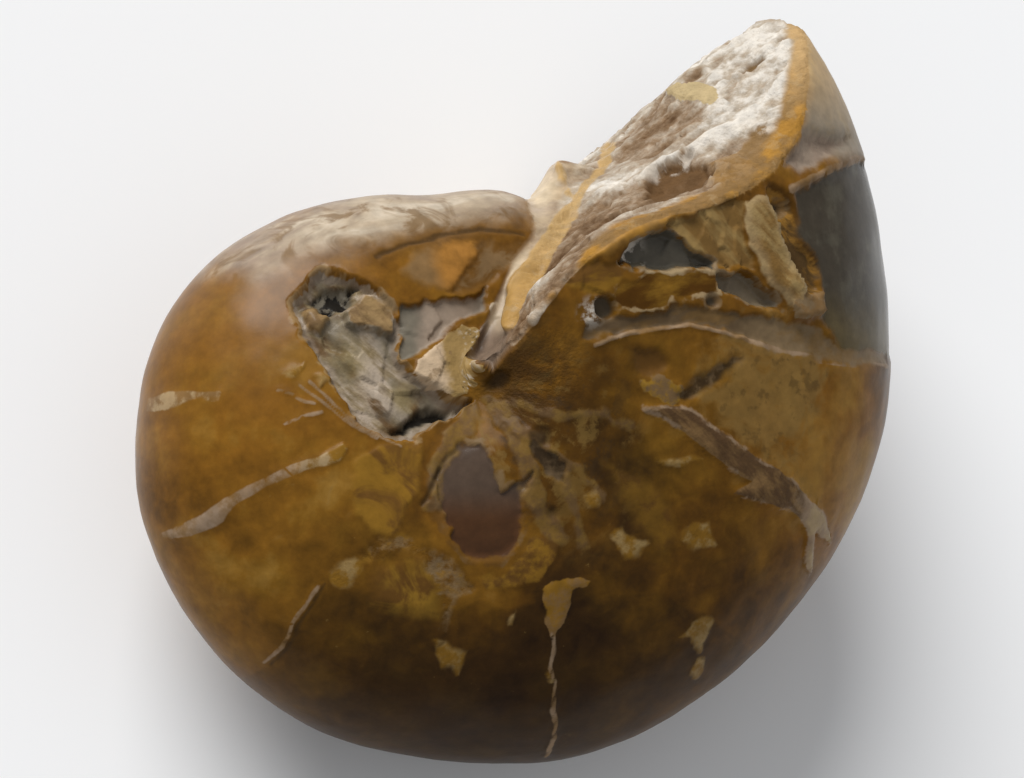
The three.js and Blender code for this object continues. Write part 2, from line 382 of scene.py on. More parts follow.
def facets(points, size, seed):
    """Small planes that lean at random, like the faces of split calcite, between about -1 and 1."""
    random = np.random.default_rng(seed)
    jitter = random.random((LATTICE, LATTICE, LATTICE, 3))
    lean = random.normal(size=(LATTICE, LATTICE, LATTICE, 3))
    cell = points / size
    low = np.floor(cell).astype(int)
    nearest = np.full(len(points), 9.0)
    height = np.zeros(len(points))
    for corner in itertools.product((-1, 0, 1), repeat=3):
        home = low + corner
        x, y, z = (home % LATTICE).T
        offset = cell - home - jitter[x, y, z]
        gap = np.linalg.norm(offset, axis=1)
        closer = gap < nearest
        nearest = np.where(closer, gap, nearest)
        height = np.where(closer, np.sum(offset * lean[x, y, z], axis=1), height)
    return np.clip(height, -1, 1)


# %% [markdown]
# ## The break
#
# The mouth of the shell snapped off long ago. The break runs slantwise: on the near flank it reaches
# furthest back, and it leaves a smoother ledge standing on the whorl inside. Its surface is one formula,
# the angle at which the stone ends for each distance from the pole and each height, so a block can be bent
# onto it and taken away with a Boolean.

# %% Where the stone ends
NEAR_EDGE = [(4, 58), (10, 57), (22, 49), (33, 38), (39, 36), (47, 37), (54, 41), (60, 44.5), (66, 45.5)]
MIDDLE_EDGE = [(4, 60), (30, 54), (38, 51.5), (48, 50.5), (56, 49), (61, 47.5), (66, 45.5)]
FAR_EDGE = [(4, 60), (30, 54.5), (38, 50.5), (48, 48.5), (56, 47), (66, 45.5)]
BREAK_SLANT = 1.15
LEDGE_ANGLE = 61.0
LEDGE_FALL = 12.0
LEDGE_FALL_DEPTH = 16.0
LEDGE_FROM = 10.0
LEDGE_RADIUS = 34.0
LEDGE_NEAR_HEIGHT = 17.0
LEDGE_STEP = 1.2
near_edge, middle_edge, far_edge = through(NEAR_EDGE), through(MIDDLE_EDGE), through(FAR_EDGE)


def on_ledge(distance, z):
    """1 on the smooth ledge that stands on the inner whorl, 0 on the rough break."""
    outward = (distance - LEDGE_FROM) / (LEDGE_RADIUS - LEDGE_FROM)
    below = LEDGE_NEAR_HEIGHT * (1 - outward) - z
    past_end = ease(distance, LEDGE_RADIUS - LEDGE_STEP, LEDGE_RADIUS + LEDGE_STEP)
    return ease(below, -LEDGE_STEP, LEDGE_STEP) * (1 - past_end)


def break_angle(distance, z):
    flank = np.maximum(flank_at(np.full_like(distance, TIP_ANGLE - 6), distance), 1)
    lift = np.clip(np.abs(z) / flank, 0, 1.1) ** BREAK_SLANT
    edge = np.where(z > 0, near_edge(distance), far_edge(distance))
    middle = middle_edge(distance)
    rough = middle + (edge - middle) * lift
    ledge = on_ledge(distance, z)
    fall = LEDGE_FALL * ease(-z, 0, LEDGE_FALL_DEPTH)
    return rough * (1 - ledge) + (LEDGE_ANGLE - fall) * ledge


def polar(angle, distance, z):
    turn = np.radians(angle)
    return np.stack([distance * np.cos(turn), distance * np.sin(turn), z], axis=-1)


CUTTER_FROM = 4.0
CUTTER_REACH = 88.0
CUTTER_HEIGHT = 34.0
CUTTER_COLUMNS = 84
CUTTER_ROWS = 68


def bent_block():
    """A closed block whose back is the break and whose front is far ahead of it."""
    distance, z = np.meshgrid(
        np.linspace(CUTTER_FROM, CUTTER_REACH, CUTTER_COLUMNS),
        np.linspace(-CUTTER_HEIGHT, CUTTER_HEIGHT, CUTTER_ROWS), indexing="ij",
    )
    distance, z = distance.ravel(), z.ravel()
    back = polar(break_angle(distance, z), distance, z)
    front = polar(np.full_like(distance, OUTER_TO + 5), distance, z)
    count = len(distance)
    faces = []
    for i, j in itertools.product(range(CUTTER_COLUMNS - 1), range(CUTTER_ROWS - 1)):
        a = i * CUTTER_ROWS + j
        quad = (a, a + 1, a + CUTTER_ROWS + 1, a + CUTTER_ROWS)
        faces += [quad, tuple(count + k for k in reversed(quad))]
    rim = [(i, 0) for i in range(CUTTER_COLUMNS)] + [(CUTTER_COLUMNS - 1, j) for j in range(1, CUTTER_ROWS)]
    rim += [(i, CUTTER_ROWS - 1) for i in range(CUTTER_COLUMNS - 2, -1, -1)]
    rim += [(0, j) for j in range(CUTTER_ROWS - 2, 0, -1)]
    for (i, j), (k, m) in zip(rim, rim[1:] + rim[:1]):
        a, b = i * CUTTER_ROWS + j, k * CUTTER_ROWS + m
        faces.append((a, b, count + b, count + a))
    mesh = bpy.data.meshes.new("break_block")
    mesh.from_pydata(np.concatenate([back, front]).tolist(), [], faces)
    block = bpy.data.objects.new("break_block", mesh)
    bpy.context.scene.collection.objects.link(block)
    face_outwards(block)
    return block


# %% [markdown]
# ## One skin
#
# The Boolean takes the block away, and then the inner whorl lies inside the outer one with its faces
# crossing the ledge. A voxel remesh turns the two into one closed skin of even faces, as the real stone is
# one lump. Even faces also take sculpted relief better than the long ones that a grid or a Boolean leaves.

# %% Cut the mouth, add the inner whorl, and remesh
VOXEL = 0.92

block = bent_block()
cut = outer.modifiers.new("Break", "BOOLEAN")
cut.operation = "DIFFERENCE"
cut.solver = "EXACT"
cut.object = block
broken = plain_mesh(outer, "broken_whorl")
bpy.data.objects.remove(block)

joined = bmesh.new()
joined.from_mesh(broken.data)
joined.from_mesh(inner.data)
joined.to_mesh(broken.data)
joined.free()
bpy.data.objects.remove(inner)
remesh = broken.modifiers.new("Even", "REMESH")
remesh.mode = "VOXEL"
remesh.voxel_size = VOXEL
rough_stone = plain_mesh(broken, "rough_stone")
print("rough stone:", len(rough_stone.data.polygons), "faces,", [round(s, 1) for s in rough_stone.dimensions])

# %% [markdown]
# ## Where the layers are split away
#
# Polishing cut through the shell's layers at different depths, and pieces flaked off, so the near flank is
# a patchwork: a deep pocket by the pole, smoky windows of clear calcite, plates of gold mineral with thin
# pale edges, a splintered shard near the mouth. Each place is an outline drawn on the flank, seen along
# the pole. A point's distance to that outline, ragged by a little noise, tells the relief how deep to go
# here, and later tells the colour where to change, so that the two always agree.

# %% Outlines on the near flank, (x, y) in mm from the pole
OUTLINES = {
    "pearl": [(-27, 13.4), (-22, 19), (-12, 24), (0, 26), (12, 25), (9.5, 20), (4, 19), (0, 18),
              (-6.5, 16.4), (-12.5, 15), (-17.5, 14), (-22, 12)],
    "tip strip": [(38.5, 28), (40, 33.5), (41.5, 39), (44, 45), (48, 48), (56, 36), (52, 28.8), (46, 26.8)],
    "slate": [(37, 22.5), (45, 26), (56, 30), (60, 18), (56, 5.5), (43.5, 5), (42.8, 6.5), (39.8, 8.5),
              (41, 11.2), (40.4, 14.3), (37, 17.7)],
    "blue grey": [(-7.8, 6.8), (-7.2, 9.4), (-2.7, 9.6), (1.4, 10.6), (3, 11.6), (2.4, 8.8), (-0.4, 7.8),
                  (-2.8, 5.9), (-5.5, 3.4), (-7.3, 3)],
    "lens": [(-7, 12.4), (-5.5, 15.2), (-2.5, 16.6), (3.2, 17), (1.4, 14.3), (-1.6, 10.8), (-4.3, 11.4)],
    "dark lens": [(-1.6, 10.8), (1.4, 14.3), (3.2, 17), (9, 17.6), (7, 15), (4.5, 12.5), (1.8, 11.2)],
    "pocket": [(-16.8, 12.4), (-18.6, 9.7), (-18.7, 7), (-17.7, 4.8), (-16.4, 2.2), (-14.8, -0.8),
               (-13, -3.7), (-9.8, -5.3), (-6.5, -5.8), (-4.7, -4.2), (-2.3, -3.5), (0.4, -2.5),
               (-3.2, -1.2), (-5.2, 0.5), (-6.8, 1.6), (-7.4, 3), (-8, 5.3), (-7.6, 7), (-9, 10),
               (-11.9, 12.2), (-14.3, 12.5)],
    "pocket gap": [(-9.2, -4.6), (-7, -4.9), (-5, -3.6), (-2.6, -3.1), (-2, -2.2), (-4.2, -1.8),
                   (-5.6, -2.9), (-7.4, -4)],
    "crevice": [(-17.3, 10.2), (-15.6, 11.1), (-13.2, 11.5), (-11.6, 11.6), (-13, 9.6), (-15.6, 9)],
    "lump": [(-18, 9), (-16.5, 9.4), (-15.4, 8), (-16.4, 6.4), (-18.1, 6.8)],
    "shelf": [(-13.3, 8.9), (-11.3, 10.6), (-9, 10.1), (-7.8, 8.6), (-8.3, 6.3), (-10.4, 6.6),
              (-13.1, 7.2)],
    "boss": [(-6.6, 1.4), (-4.4, 4), (-2.7, 5.4), (-0.6, 7), (1.8, 6), (1.4, 4), (0.9, 0.6), (0.1, -1.3),
             (-2.1, -1.2), (-5, -0.1)],
    "lobe": [(1.4, 6.3), (2.8, 7.6), (4, 7.2), (4.2, 6), (3.3, 4.9), (2, 5)],
    "scar": [(-13, -18), (-11, -16.4), (-8.8, -16.2), (-5.6, -17.9), (-3.9, -19), (-2, -20.2),
             (-0.4, -22.2), (-2.1, -23), (-3, -25.1), (-3.9, -26.9), (-3.8, -24.3), (-4.7, -21.8),
             (-7, -18.6), (-9.2, -17.8), (-12, -19)],
    "gold patch": [(-11, -22.9), (-12, -20.6), (-9, -18.9), (-6.1, -19.2), (-4.5, -21.4), (-4, -24.6),
                   (-6, -24.4)],
    "gold plate": [(-14, -8.4), (-10.8, -6.2), (-6.2, -6.4), (-6.2, -9), (-6.8, -11.2), (-8, -13.5),
                   (-8.8, -15.6), (-11, -16), (-13.4, -13.6)],
    "smoky": [(-4.9, -12), (-4.6, -9.4), (-3.2, -7.6), (-0.9, -6.7), (0.4, -7), (1.2, -9), (2.5, -11.6),
              (4, -10.4), (4.9, -9.4), (4.6, -12.4), (4.1, -15.6), (2.9, -17.9), (0.7, -18.8),
              (-1.5, -18.5), (-3.2, -17.2), (-4.2, -15.1)],
    "fringe": [(-0.8, -20.2), (2.1, -19.9), (4, -18.4), (4.9, -16.6), (6.9, -15.9), (8.8, -16.8),
               (8, -19.1), (6, -20.6), (3.2, -21.5), (0.5, -21.6)],
    "wedge": [(6.6, -21.3), (9.2, -20.9), (12.6, -20.9), (11.9, -21.7), (10, -21.9), (9.6, -23.7),
              (9.3, -25.9), (8.7, -27), (7.9, -25.9), (7.3, -23.4)],
    "tongue": [(13.6, -8.6), (15.6, -9.6), (17.6, -10.2), (19.4, -12), (21.2, -14.2), (21.8, -16.4),
               (20.6, -17.6), (18.6, -16), (16.6, -13.4)],
    "brown hollow": [(16.4, 3.4), (19.4, 3.6), (20.5, 2.4), (19.6, 1), (18, 0.6), (16.8, 1.3)],
    "gold lobe": [(16.9, 0.6), (18.2, 0.2), (19.6, 0.9), (21, 0.5), (23, -0.6), (21.9, -2.1), (20.4, -2),
                  (18.6, -1.3), (17.3, -0.7)],
    "groove": [(21.8, -1.2), (22.8, -0.1), (24.4, 1.2), (27, 2.3), (30.2, 3.8), (28.6, 1.9), (26.4, 0.5),
               (24.3, -0.8), (22.8, -1.8)],
    "band": [(10.2, 4.3), (10.6, 6.2), (14.5, 7.2), (21.6, 8.3), (28, 8.3), (34, 7.6), (39.5, 7),
             (43, 5.3), (53, 5.6), (53, 4), (42.4, 3.5), (34.7, 4.5), (28, 5.8), (22.8, 6.7), (17.3, 5.9),
             (13.3, 4.9)],
    "bar": [(14.2, 11), (18, 11.9), (21.6, 12.3), (26.7, 12.1), (26.7, 10.2), (23.4, 9.2), (17.3, 8.2),
            (14.6, 8.8)],
    "amber block": [(6.5, 12.5), (11, 13.2), (14.6, 13.2), (14, 11), (12.5, 9.8), (8.5, 10), (6, 11)],
    "plate": [(20, 17.2), (25.6, 19.7), (30.3, 20.8), (30.7, 15), (31.6, 13.2), (26.6, 13), (23.3, 15.4)],
    "window": [(14.5, 13.2), (16.2, 14.8), (18.2, 15.8), (20.3, 16.2), (22.9, 15.6), (26.3, 13.6),
               (26.2, 12.8), (21.6, 12.7), (18, 12.5)],
    "small window": [(26.9, 12.2), (31, 12.3), (34.2, 10), (35.2, 8.9), (31.2, 9.5), (28.6, 10.3),
                     (27, 11)],
    "shard": [(30.3, 20.8), (33, 21.5), (34.8, 17.6), (37, 13.4), (38.5, 10.9), (36.4, 8.9), (33.3, 11.7),
              (30.9, 15)],
    "shard edge": [(33.3, 23), (35.4, 22.2), (36.4, 20.6), (37.7, 16.6), (40.6, 14.2), (40.6, 11),
                   (38.4, 10.9), (36, 15.8), (34.2, 19)],
    "shard end": [(36.1, 9.7), (38.4, 10.8), (40.6, 11.2), (40.8, 8.7), (38.4, 8), (36.4, 7.9)],
    "dish": [(36, 26.6), (38.6, 29), (42, 30), (46, 29.2), (48, 29.9), (44, 27.2), (39.4, 25.4),
             (36.3, 25.2)],
    # deep: the lower flank, where the colour is darkened towards the bottom as painted shade.
    "deep": [(-16, -20.6), (-17.4, -23), (-18.9, -26), (-20.4, -29), (-24, -34), (-30, -46), (20, -54),
             (48, -40), (36, -28), (20, -22), (8, -23), (-4, -24), (-12, -22)],
    "ring": [(4.6, -5.2), (6.4, -6.6), (8.2, -8.6), (8.8, -10.6), (6.9, -9.8), (5, -7.6)],
    "rim": [(7, 12.8), (10.9, 13.5), (14.7, 14.4), (18.4, 16), (21.7, 18.3), (28.3, 21.2), (32, 23.2),
            (36, 25.4), (39, 28.6), (39, 32), (30, 27), (20, 22.5), (12, 19)],
}

# The strips of pale mineral that fill the walls between chambers.
STRIPS = {
    "main strip": [(17.6, -2.5), (20.8, -2.2), (23, -2.4), (25.4, -4), (28, -5.3), (30, -6.6), (32.5, -8),
                   (35, -8.9), (37.3, -10), (38.8, -11.3), (42, -13), (44.8, -16.2), (41.2, -15),
                   (41.3, -16.8), (42.3, -19.8), (40.8, -18.8), (40.3, -16), (39, -14.2), (36.9, -13),
                   (33, -12.4), (29, -11.5), (31.2, -10.1), (29.2, -9.2), (26.6, -7.8), (24, -6),
                   (21.6, -4.5), (19, -3.3)],
    "left strip": [(-31.6, -15), (-28.7, -13.6), (-27, -12.2), (-25, -11), (-21.9, -9.5), (-20, -8.4),
                   (-17, -7.6), (-14.6, -6.2), (-14.2, -6.8), (-15.2, -8.2), (-18.6, -9.2),
                   (-22.6, -10.9), (-25.2, -12.4), (-26.6, -14.4), (-28.9, -15.5), (-31, -15.8)],
    "nick": [(-33, -0.4), (-31.2, 0), (-29.3, -0.1), (-26.4, -0.3), (-26.8, -1.4), (-29.1, -1.1),
             (-31.3, -2), (-33, -1.9)],
}

# Splinters of gold mineral lying in the surface.
FLAKES = [
    [(-16, -19.6), (-14.4, -18.5), (-12.2, -18.2), (-12.9, -20), (-13.7, -21.6), (-14.9, -21)],
    [(-4.8, -28), (-3.7, -27.7), (-1.1, -28.3), (-1.2, -29.6), (-1.7, -30.8), (-2.2, -29.7), (-3.4, -30.3)],
    [(24, -26.4), (25.1, -25.2), (28.3, -25.1), (27.8, -26.9), (27.2, -28.7), (26.2, -28.4), (25.6, -27)],
    [(26.7, -30.8), (26.8, -29.3), (28, -29), (28.7, -30.4), (28.1, -31.6)],
    [(22.3, -16.2), (23.4, -14.8), (26.4, -14.4), (26.6, -16), (27.7, -17.2), (26.3, -17.4), (24.6, -17.3)],
    [(14.4, -16), (15.9, -15.4), (17.8, -16.6), (19, -17), (17.9, -18.5), (16.5, -18.8), (15.7, -17.2)],
    [(19.2, -8.1), (21.5, -7.6), (24.6, -7.8), (23.4, -8.6), (20.4, -8.9)],
    [(-20.8, -11), (-19.6, -10.6), (-19.9, -11.4)], [(-17.6, 1.6), (-15.8, 0.6), (-16.8, 0.2)],
    [(-21, 1.6), (-18.6, 2.6), (-19.2, 1.3)], [(8.5, -31), (9.2, -30.6), (9.3, -31.7), (8.8, -32)],
    [(3.4, -24.4), (4.2, -23.8), (4.4, -25), (3.8, -25.6)],
    [(11, -12), (12.4, -11.4), (12.9, -12.8), (11.6, -13.2)],
]

# Small round places, as (x, y, across) in mm.
HOLES = {
    "pole pit": (3.0, 1.0, 2.2), "siphuncle": (13.0, 8.1, 2.5), "slot": (25.8, 9.3, 1.3),
    "upper cavity": (6.3, -5.7, 2.2), "lower cavity": (7.6, -13.8, 1.0), "edge slot": (35.4, 20.4, 1.7),
}
BEAD = (4.1, 8.9, 1.9)

# %% [markdown]
# ## Seams, cracks and soft zones
#
# The thin walls between the chambers come to the surface as seams, on both flanks. A real one is the edge
# of a curved plate, but here only its edge shows, so a course of short runs with a width and a height is
# enough, and a crack is the same with a height below 0. Where a colour only drifts, a soft round zone
# holds how much.

# %% Courses of thin seams and cracks
# (x, y) in mm from the pole, the flank it is on, how wide and how high.
NEAR = 1
FAR = -1
RIDGES = {
    "mouth seam": ([(11.6, 4), (13.5, 4.8), (17.3, 5.8), (22.8, 6.6), (28, 5.7), (34.7, 4.4), (42.4, 3.4),
                    (53, 4)], NEAR, 0.55, 0.22),
    "bottom seam": ([(8.5, -26.5), (8.9, -28), (8.8, -30.1), (9.6, -32), (10, -34.4), (10.9, -36.3),
                     (12, -39.6)], NEAR, 0.55, 0.2),
    "lower left seam": ([(-16.9, -21.4), (-18.2, -23.8), (-18.9, -25.1), (-19.6, -27.6), (-20.8, -29)],
                        NEAR, 0.35, 0.1),
    "slate edge": ([(36.6, 22.5), (40, 24.2), (44.7, 26.1), (50.4, 28.3)], NEAR, 0.9, 0.3),
    "thin seam": ([(-20.6, -4.1), (-19.1, -3.4), (-16.8, -2.9)], NEAR, 0.35, 0.1),
    "thin seam above": ([(-21.2, -0.4), (-19.8, -0.9), (-18.7, -1.7), (-17.6, -2)], NEAR, 0.35, 0.1),
    "pocket line": ([(-19, 0.2), (-17.4, -1.2), (-15.4, -2.8), (-13.7, -4.2), (-11.2, -5.6)],
                    NEAR, 0.35, 0.1),
    "second pocket line": ([(-17.9, 0.6), (-15.9, -1.5), (-13.8, -3.6), (-11, -5.3), (-8.4, -6.6)],
                           NEAR, 0.35, 0.1),
    "far main seam": ([(21.7, -3.4), (29, -7), (36, -11), (44, -14.3), (49, -15)], FAR, 1.5, 0.45),
    "far mouth seam": ([(18.3, 8), (29, 9), (39, 8.3), (49, 9.5)], FAR, 0.9, 0.3),
    "far bottom seam": ([(8.3, -17), (10, -26), (11.7, -34)], FAR, 0.9, 0.3),
    "far lower left seam": ([(-9, -13.3), (-15.4, -19.7), (-20.8, -25.6)], FAR, 0.9, 0.3),
    "far left seam": ([(-14.9, 2), (-21.5, 4.6), (-27.2, 6.8)], FAR, 0.8, 0.3),
    "arch": ([(-9.5, 14.6), (-5.4, 16.2), (-0.9, 17.6), (3.3, 18.4), (8.6, 18.2)], NEAR, 0.6, -0.14),
    "lower left crack": ([(-16.3, -21.2), (-17.6, -23.8), (-18.3, -25.2), (-19, -27.7), (-20.2, -29.3)],
                         NEAR, 0.3, -0.12),
    "lilac crack": ([(-4.4, -9), (-5.4, -11), (-6.4, -12.8)], NEAR, 0.5, -0.25),
}

# Strands of torn mineral beside the pole, as (course, width, height).
STRANDS = [
    ([(2.6, -2), (3.3, -4.8), (4.2, -7), (5.2, -10.4), (6.6, -14.4), (8.8, -17)], 1.6, 0.14),
    ([(3.4, -4.6), (6.2, -6.4), (8.4, -8.4), (10.6, -9.3), (13, -11.8)], 1.2, 0.12),
    ([(8.4, -8.4), (9.4, -11.4), (10.4, -14.6), (10.8, -17.4)], 1.0, 0.08),
    ([(0.6, -3.6), (-1.6, -5.2), (-3.8, -7.8), (-5.2, -10.8), (-5.4, -13)], 1.8, 0.1),
    ([(4.4, -1.6), (8, -3.2), (12.4, -3), (16.2, -4.6)], 0.9, 0.06),
]

# Soft round zones, as (x, y, reach, how strong at the middle).
ZONES = {
    # tone: the calcite's own lighter and darker patches, except (6, -36), (30, -24) and (-14, -30), which
    # darken the bottom of the flank as painted shade.
    "tone": [
        (-22, 2, 20, 0.14), (-20, -20, 18, 0.12), (6, -36, 26, -0.34), (30, -24, 20, -0.14),
        (10, -6, 13, -0.16), (43, -8, 15, 0.38), (30, 0, 14, 0.18), (14, -20, 10, -0.16),
        (5, 2, 8, -0.08), (-14, -30, 13, -0.16), (17, -10, 7, -0.34), (19, -15, 5, -0.16),
        (-11, -16, 7, -0.22), (-17, -17, 5, -0.08), (1, -25, 8, 0.18), (20, -2, 6, 0.14), (7, 3, 6, 0.14),
    ],
    "calm": [(-23, 3, 17, 0.6)],
    "olive": [(-18, -20, 18, 0.2), (22, -2, 14, 0.25)],
    "tan": [(33, 0, 14, 1)],
    "specked": [(-2, -14, 30, 1)],
    "stranded": [(7, -6, 16, 1), (1, 0, 6, -1)],
    # pole shade: where dark brown is painted as shade in the pit beside the pole; it also roughens the grain
    # there.
    "pole shade": [(5.5, 1.5, 7, 1)],
    "arched": [(-1, 17, 13, 1)],
    "yellow tint": [(-13, 3.2, 3.6, 0.4), (-7.3, -0.9, 2.4, 0.5)],
    "streak tint": [(-11, 0.6, 2.6, 0.8), (-10.2, -1.9, 2.4, 0.9)],
    "brown tint": [(-9.2, -5.2, 2.3, 0.7)],
    "blue tint": [(-7.6, 5, 3.4, 0.9), (-3.6, -2.8, 2.6, 0.8)],
    "crystal tint": [(11.2, 7.5, 2.2, 1)],
    "grey end": [(-27.5, -14.2, 3.0, 0.5)],
    "haze": [(-26, 14, 20, 0.3), (54, 12, 15, 0.3), (-36, -4, 9, 0.3)],
}

# %% [markdown]
# ## Places on the break
#
# The break stands almost across the coil, so its places are drawn on a chart of their own: how far from
# the pole, and how high above the plane that halves the coil. The ribbon of gold mineral on the ledge
# bends in space, so its course is given in all three directions.

# %% Outlines on the break, (distance from the pole, height) in mm
BREAK_OUTLINES = {
    "yellow plate": [(48, -2), (49.6, 2), (49.2, 5), (48.4, 7.2), (46.9, 7.4), (46.6, 3.5), (46.8, 0)],
    "amber facet": [(46.8, 13.6), (50.2, 16.6), (48.6, 18.6), (44.9, 20), (42.4, 20), (42, 15.4)],
    "orange patch": [(39, 14.6), (41.9, 15.6), (43.4, 18.6), (43.4, 21), (39.4, 22), (35.6, 21),
                     (36.6, 17)],
    "hollow": [(34.7, 9.6), (37.2, 10.8), (39.2, 10), (38.6, 14), (34.8, 17), (30.4, 17), (30.8, 13.6)],
    "sugar": [(60, -3), (60, 9), (54.4, 13.4), (50, 17.4), (45, 13), (43.6, 9), (47, 5.4), (51, 3),
              (53, -4)],
}
CREST = [(29.8, 7), (33.9, 9), (38.2, 11), (41.9, 10.4), (45.6, 12.4), (49.9, 17)]
TIP_HOLE = (54.5, 7.2, 1.8)
RIBBON = [
    (4.0, 6.9, 18.2), (4.7, 8.6, 16.6), (5.9, 10.6, 14.9), (8.3, 13.4, 12.8), (13.5, 19.6, 8),
    (16.1, 22.3, 6), (21.9, 28, 0), (25.2, 31, -6), (27.4, 32, -13),
]
RIBBON_BRANCH = [(16.1, 22.3, 6), (15.5, 23.4, 4.4), (15.4, 25.4, 3), (16.3, 27.3, 0.8)]
RIBBON_WIDTH = [(6, 2.2), (11, 2.9), (16, 2.8), (24, 2.0), (30, 1.5), (42, 1.9)]

# %% [markdown]
# ## Room for detail
#
# Even faces of under a millimetre are enough for the polished back, but the broken places need finer ones.
# One voxel size for all would cost far too many, so the faces near the pole, at the mouth and on the break
# are split again, and the new points are smoothed back onto the curve of the stone.

# %% Split the faces where the detail is
def behind_break(points):
    """How far behind the break each point lies, in mm along its circle about the pole."""
    distance = np.hypot(points[:, 0], points[:, 1])
    angle = np.degrees(np.arctan2(points[:, 1], points[:, 0]))
    gap = np.radians(break_angle(distance, points[:, 2]) - angle) * distance
    on_last_whorl = (angle > -60) & (angle < 85) & (distance > 3)
    return np.where(on_last_whorl, gap, 99.0)


# Where thin lines and small splinters lie away from the pole, as (left, right, low, high) in mm.
LINE_BOXES = [(7.5, 13, -42, -26), (-21.5, -14, -30, -18), (23, 30, -32, -24), (38, 46, -21, -12)]
SMOOTHINGS = 3


def wants_detail(points):
    x, y, z = points.T
    flank = (z > 5) & (np.hypot(x - 6, y - 3) < 29)
    for left, right, low, high in LINE_BOXES:
        flank |= (z > 3) & (x > left) & (x < right) & (y > low) & (y < high)
    return flank | (behind_break(points) < 1.2)


def wants_fine_detail(points):
    x, y, z = points.T
    pole = (z > 8) & (np.hypot(x + 2, y) < 17)
    mouth = (z > 12) & (x > 8) & (x < 42) & (y > 5) & (y < 28)
    return pole | mouth


def coordinates(thing):
    points = np.empty(len(thing.data.vertices) * 3)
    thing.data.vertices.foreach_get("co", points)
    return points.reshape(-1, 3)


def split(thing, wanted):
    work = bmesh.new()
    work.from_mesh(thing.data)
    chosen = wanted(np.array([v.co for v in work.verts]))
    work.verts.ensure_lookup_table()
    edges = [e for e in work.edges if chosen[e.verts[0].index] and chosen[e.verts[1].index]]
    made = bmesh.ops.subdivide_edges(work, edges=edges, cuts=1, use_grid_fill=True)
    touched = {v for v in made["geom"] if isinstance(v, bmesh.types.BMVert)}
    near = list(touched | {e.other_vert(v) for v in touched for e in v.link_edges})
    for _ in range(SMOOTHINGS):
        bmesh.ops.smooth_vert(work, verts=near, factor=0.5, use_axis_x=True, use_axis_y=True, use_axis_z=True)
    work.to_mesh(thing.data)
    work.free()


split(rough_stone, wants_detail)
split(rough_stone, wants_fine_detail)
triangles = sum(len(p.vertices) - 2 for p in rough_stone.data.polygons)
print("after splitting:", len(rough_stone.data.vertices), "points,", triangles, "triangles")

# %% [markdown]
# ## Distances to the outlines
#
# Split edges are never straight, so the flank's coordinates are nudged by noise before any distance is
# taken. Neighbouring places are nudged alike and keep their shared edge. Every distance is kept in a table
# by name, because the relief and the colours both read it.

# %% Distance to an outline, to a course and to a spot
def to_run(places, start, end):
    along = np.clip((places - start) @ (end - start) / ((end - start) @ (end - start)), 0, 1)
    return np.linalg.norm(places - start - along[:, None] * (end - start), axis=1)


def beside(places, course):
    """Distance in mm from each place to a course of short straight runs."""
    course = np.array(course, float)
    return np.min([to_run(places, start, end) for start, end in zip(course, course[1:])], axis=0)


def inside(places, outline):
    """Distance in mm from each flat place to an outline, above 0 inside it."""
    corners = np.array(outline, float)
    x, y = places.T
    within = np.zeros(len(places), bool)
    for (ax, ay), (bx, by) in zip(corners, np.roll(corners, -1, axis=0)):
        if ay != by:
            within ^= ((ay > y) != (by > y)) & (x < ax + (y - ay) * (bx - ax) / (by - ay))
    gap = beside(places, np.vstack([corners, corners[:1]]))
    return np.where(within, gap, -gap)


def within_spot(places, spot):
    """The same for a round spot, given as (x, y, across)."""
    return spot[2] / 2 - np.linalg.norm(places - np.array(spot[:2]), axis=1)


def nudged(points, seed, wide=0.55, narrow=0.32):
    """Coordinates with every edge made ragged: soft bends of `wide` mm and small teeth of `narrow` mm."""
    bends = [clouds(points, 3.0, seed + axis) for axis in range(3)]
    teeth = [clouds(points, 1.1, seed + 5 + axis) for axis in range(3)]
    return points + (wide * np.stack(bends, axis=1) + narrow * np.stack(teeth, axis=1))


points = coordinates(rough_stone)
normals = np.empty(points.size)
rough_stone.data.vertices.foreach_get("normal", normals)
normals = normals.reshape(-1, 3)
ragged = nudged(points, 11)
flat = ragged[:, :2]
pole_distance = np.hypot(points[:, 0], points[:, 1])
chart = np.stack([np.hypot(ragged[:, 0], ragged[:, 1]), ragged[:, 2]], axis=1)

gap_to_break = behind_break(points)
on_break = ease(gap_to_break, -1.6, -0.9) * (1 - ease(gap_to_break, 0.35, 1.1))
smooth_part = on_ledge(pole_distance, points[:, 2])
rough_break = on_break * (1 - smooth_part)
ledge = on_break * smooth_part
near_flank = ease(points[:, 2], 1, 5) * ease(normals[:, 2], 0.02, 0.25) * (1 - on_break)
far_flank = ease(-points[:, 2], 1, 5) * ease(-normals[:, 2], 0.02, 0.25) * (1 - on_break)

FAR_OFF = -9.0
seen_near = near_flank > 0.02
place = {}
smooth_flat = 0.7 * points[:, :2] + 0.3 * flat
for name, outline in OUTLINES.items():
    place[name] = np.where(seen_near, inside(flat, outline), FAR_OFF)
for name, reach in {"slate": 5, "tip strip": 9, "pearl": 3, "deep": 8}.items():
    to_end = points[:, 2] + reach + 3.5 * clouds(points, 7, 93)
    place[name] = np.minimum(inside(flat, OUTLINES[name]), to_end)
for name, outline in STRIPS.items():
    place[name] = np.where(seen_near, inside(smooth_flat, outline), FAR_OFF)
for name, spot in HOLES.items():
    place[name] = np.where(seen_near, within_spot(smooth_flat, spot), FAR_OFF)
place["flakes"] = np.where(seen_near, np.max([inside(flat, flake) for flake in FLAKES], axis=0), FAR_OFF)
place["bead"] = np.where(seen_near, within_spot(points[:, :2], BEAD), FAR_OFF)
for name, outline in BREAK_OUTLINES.items():
    place[name] = np.where(rough_break > 0.02, inside(chart, outline), FAR_OFF)
place["tip hole"] = np.where(rough_break > 0.02, within_spot(chart, TIP_HOLE), FAR_OFF)
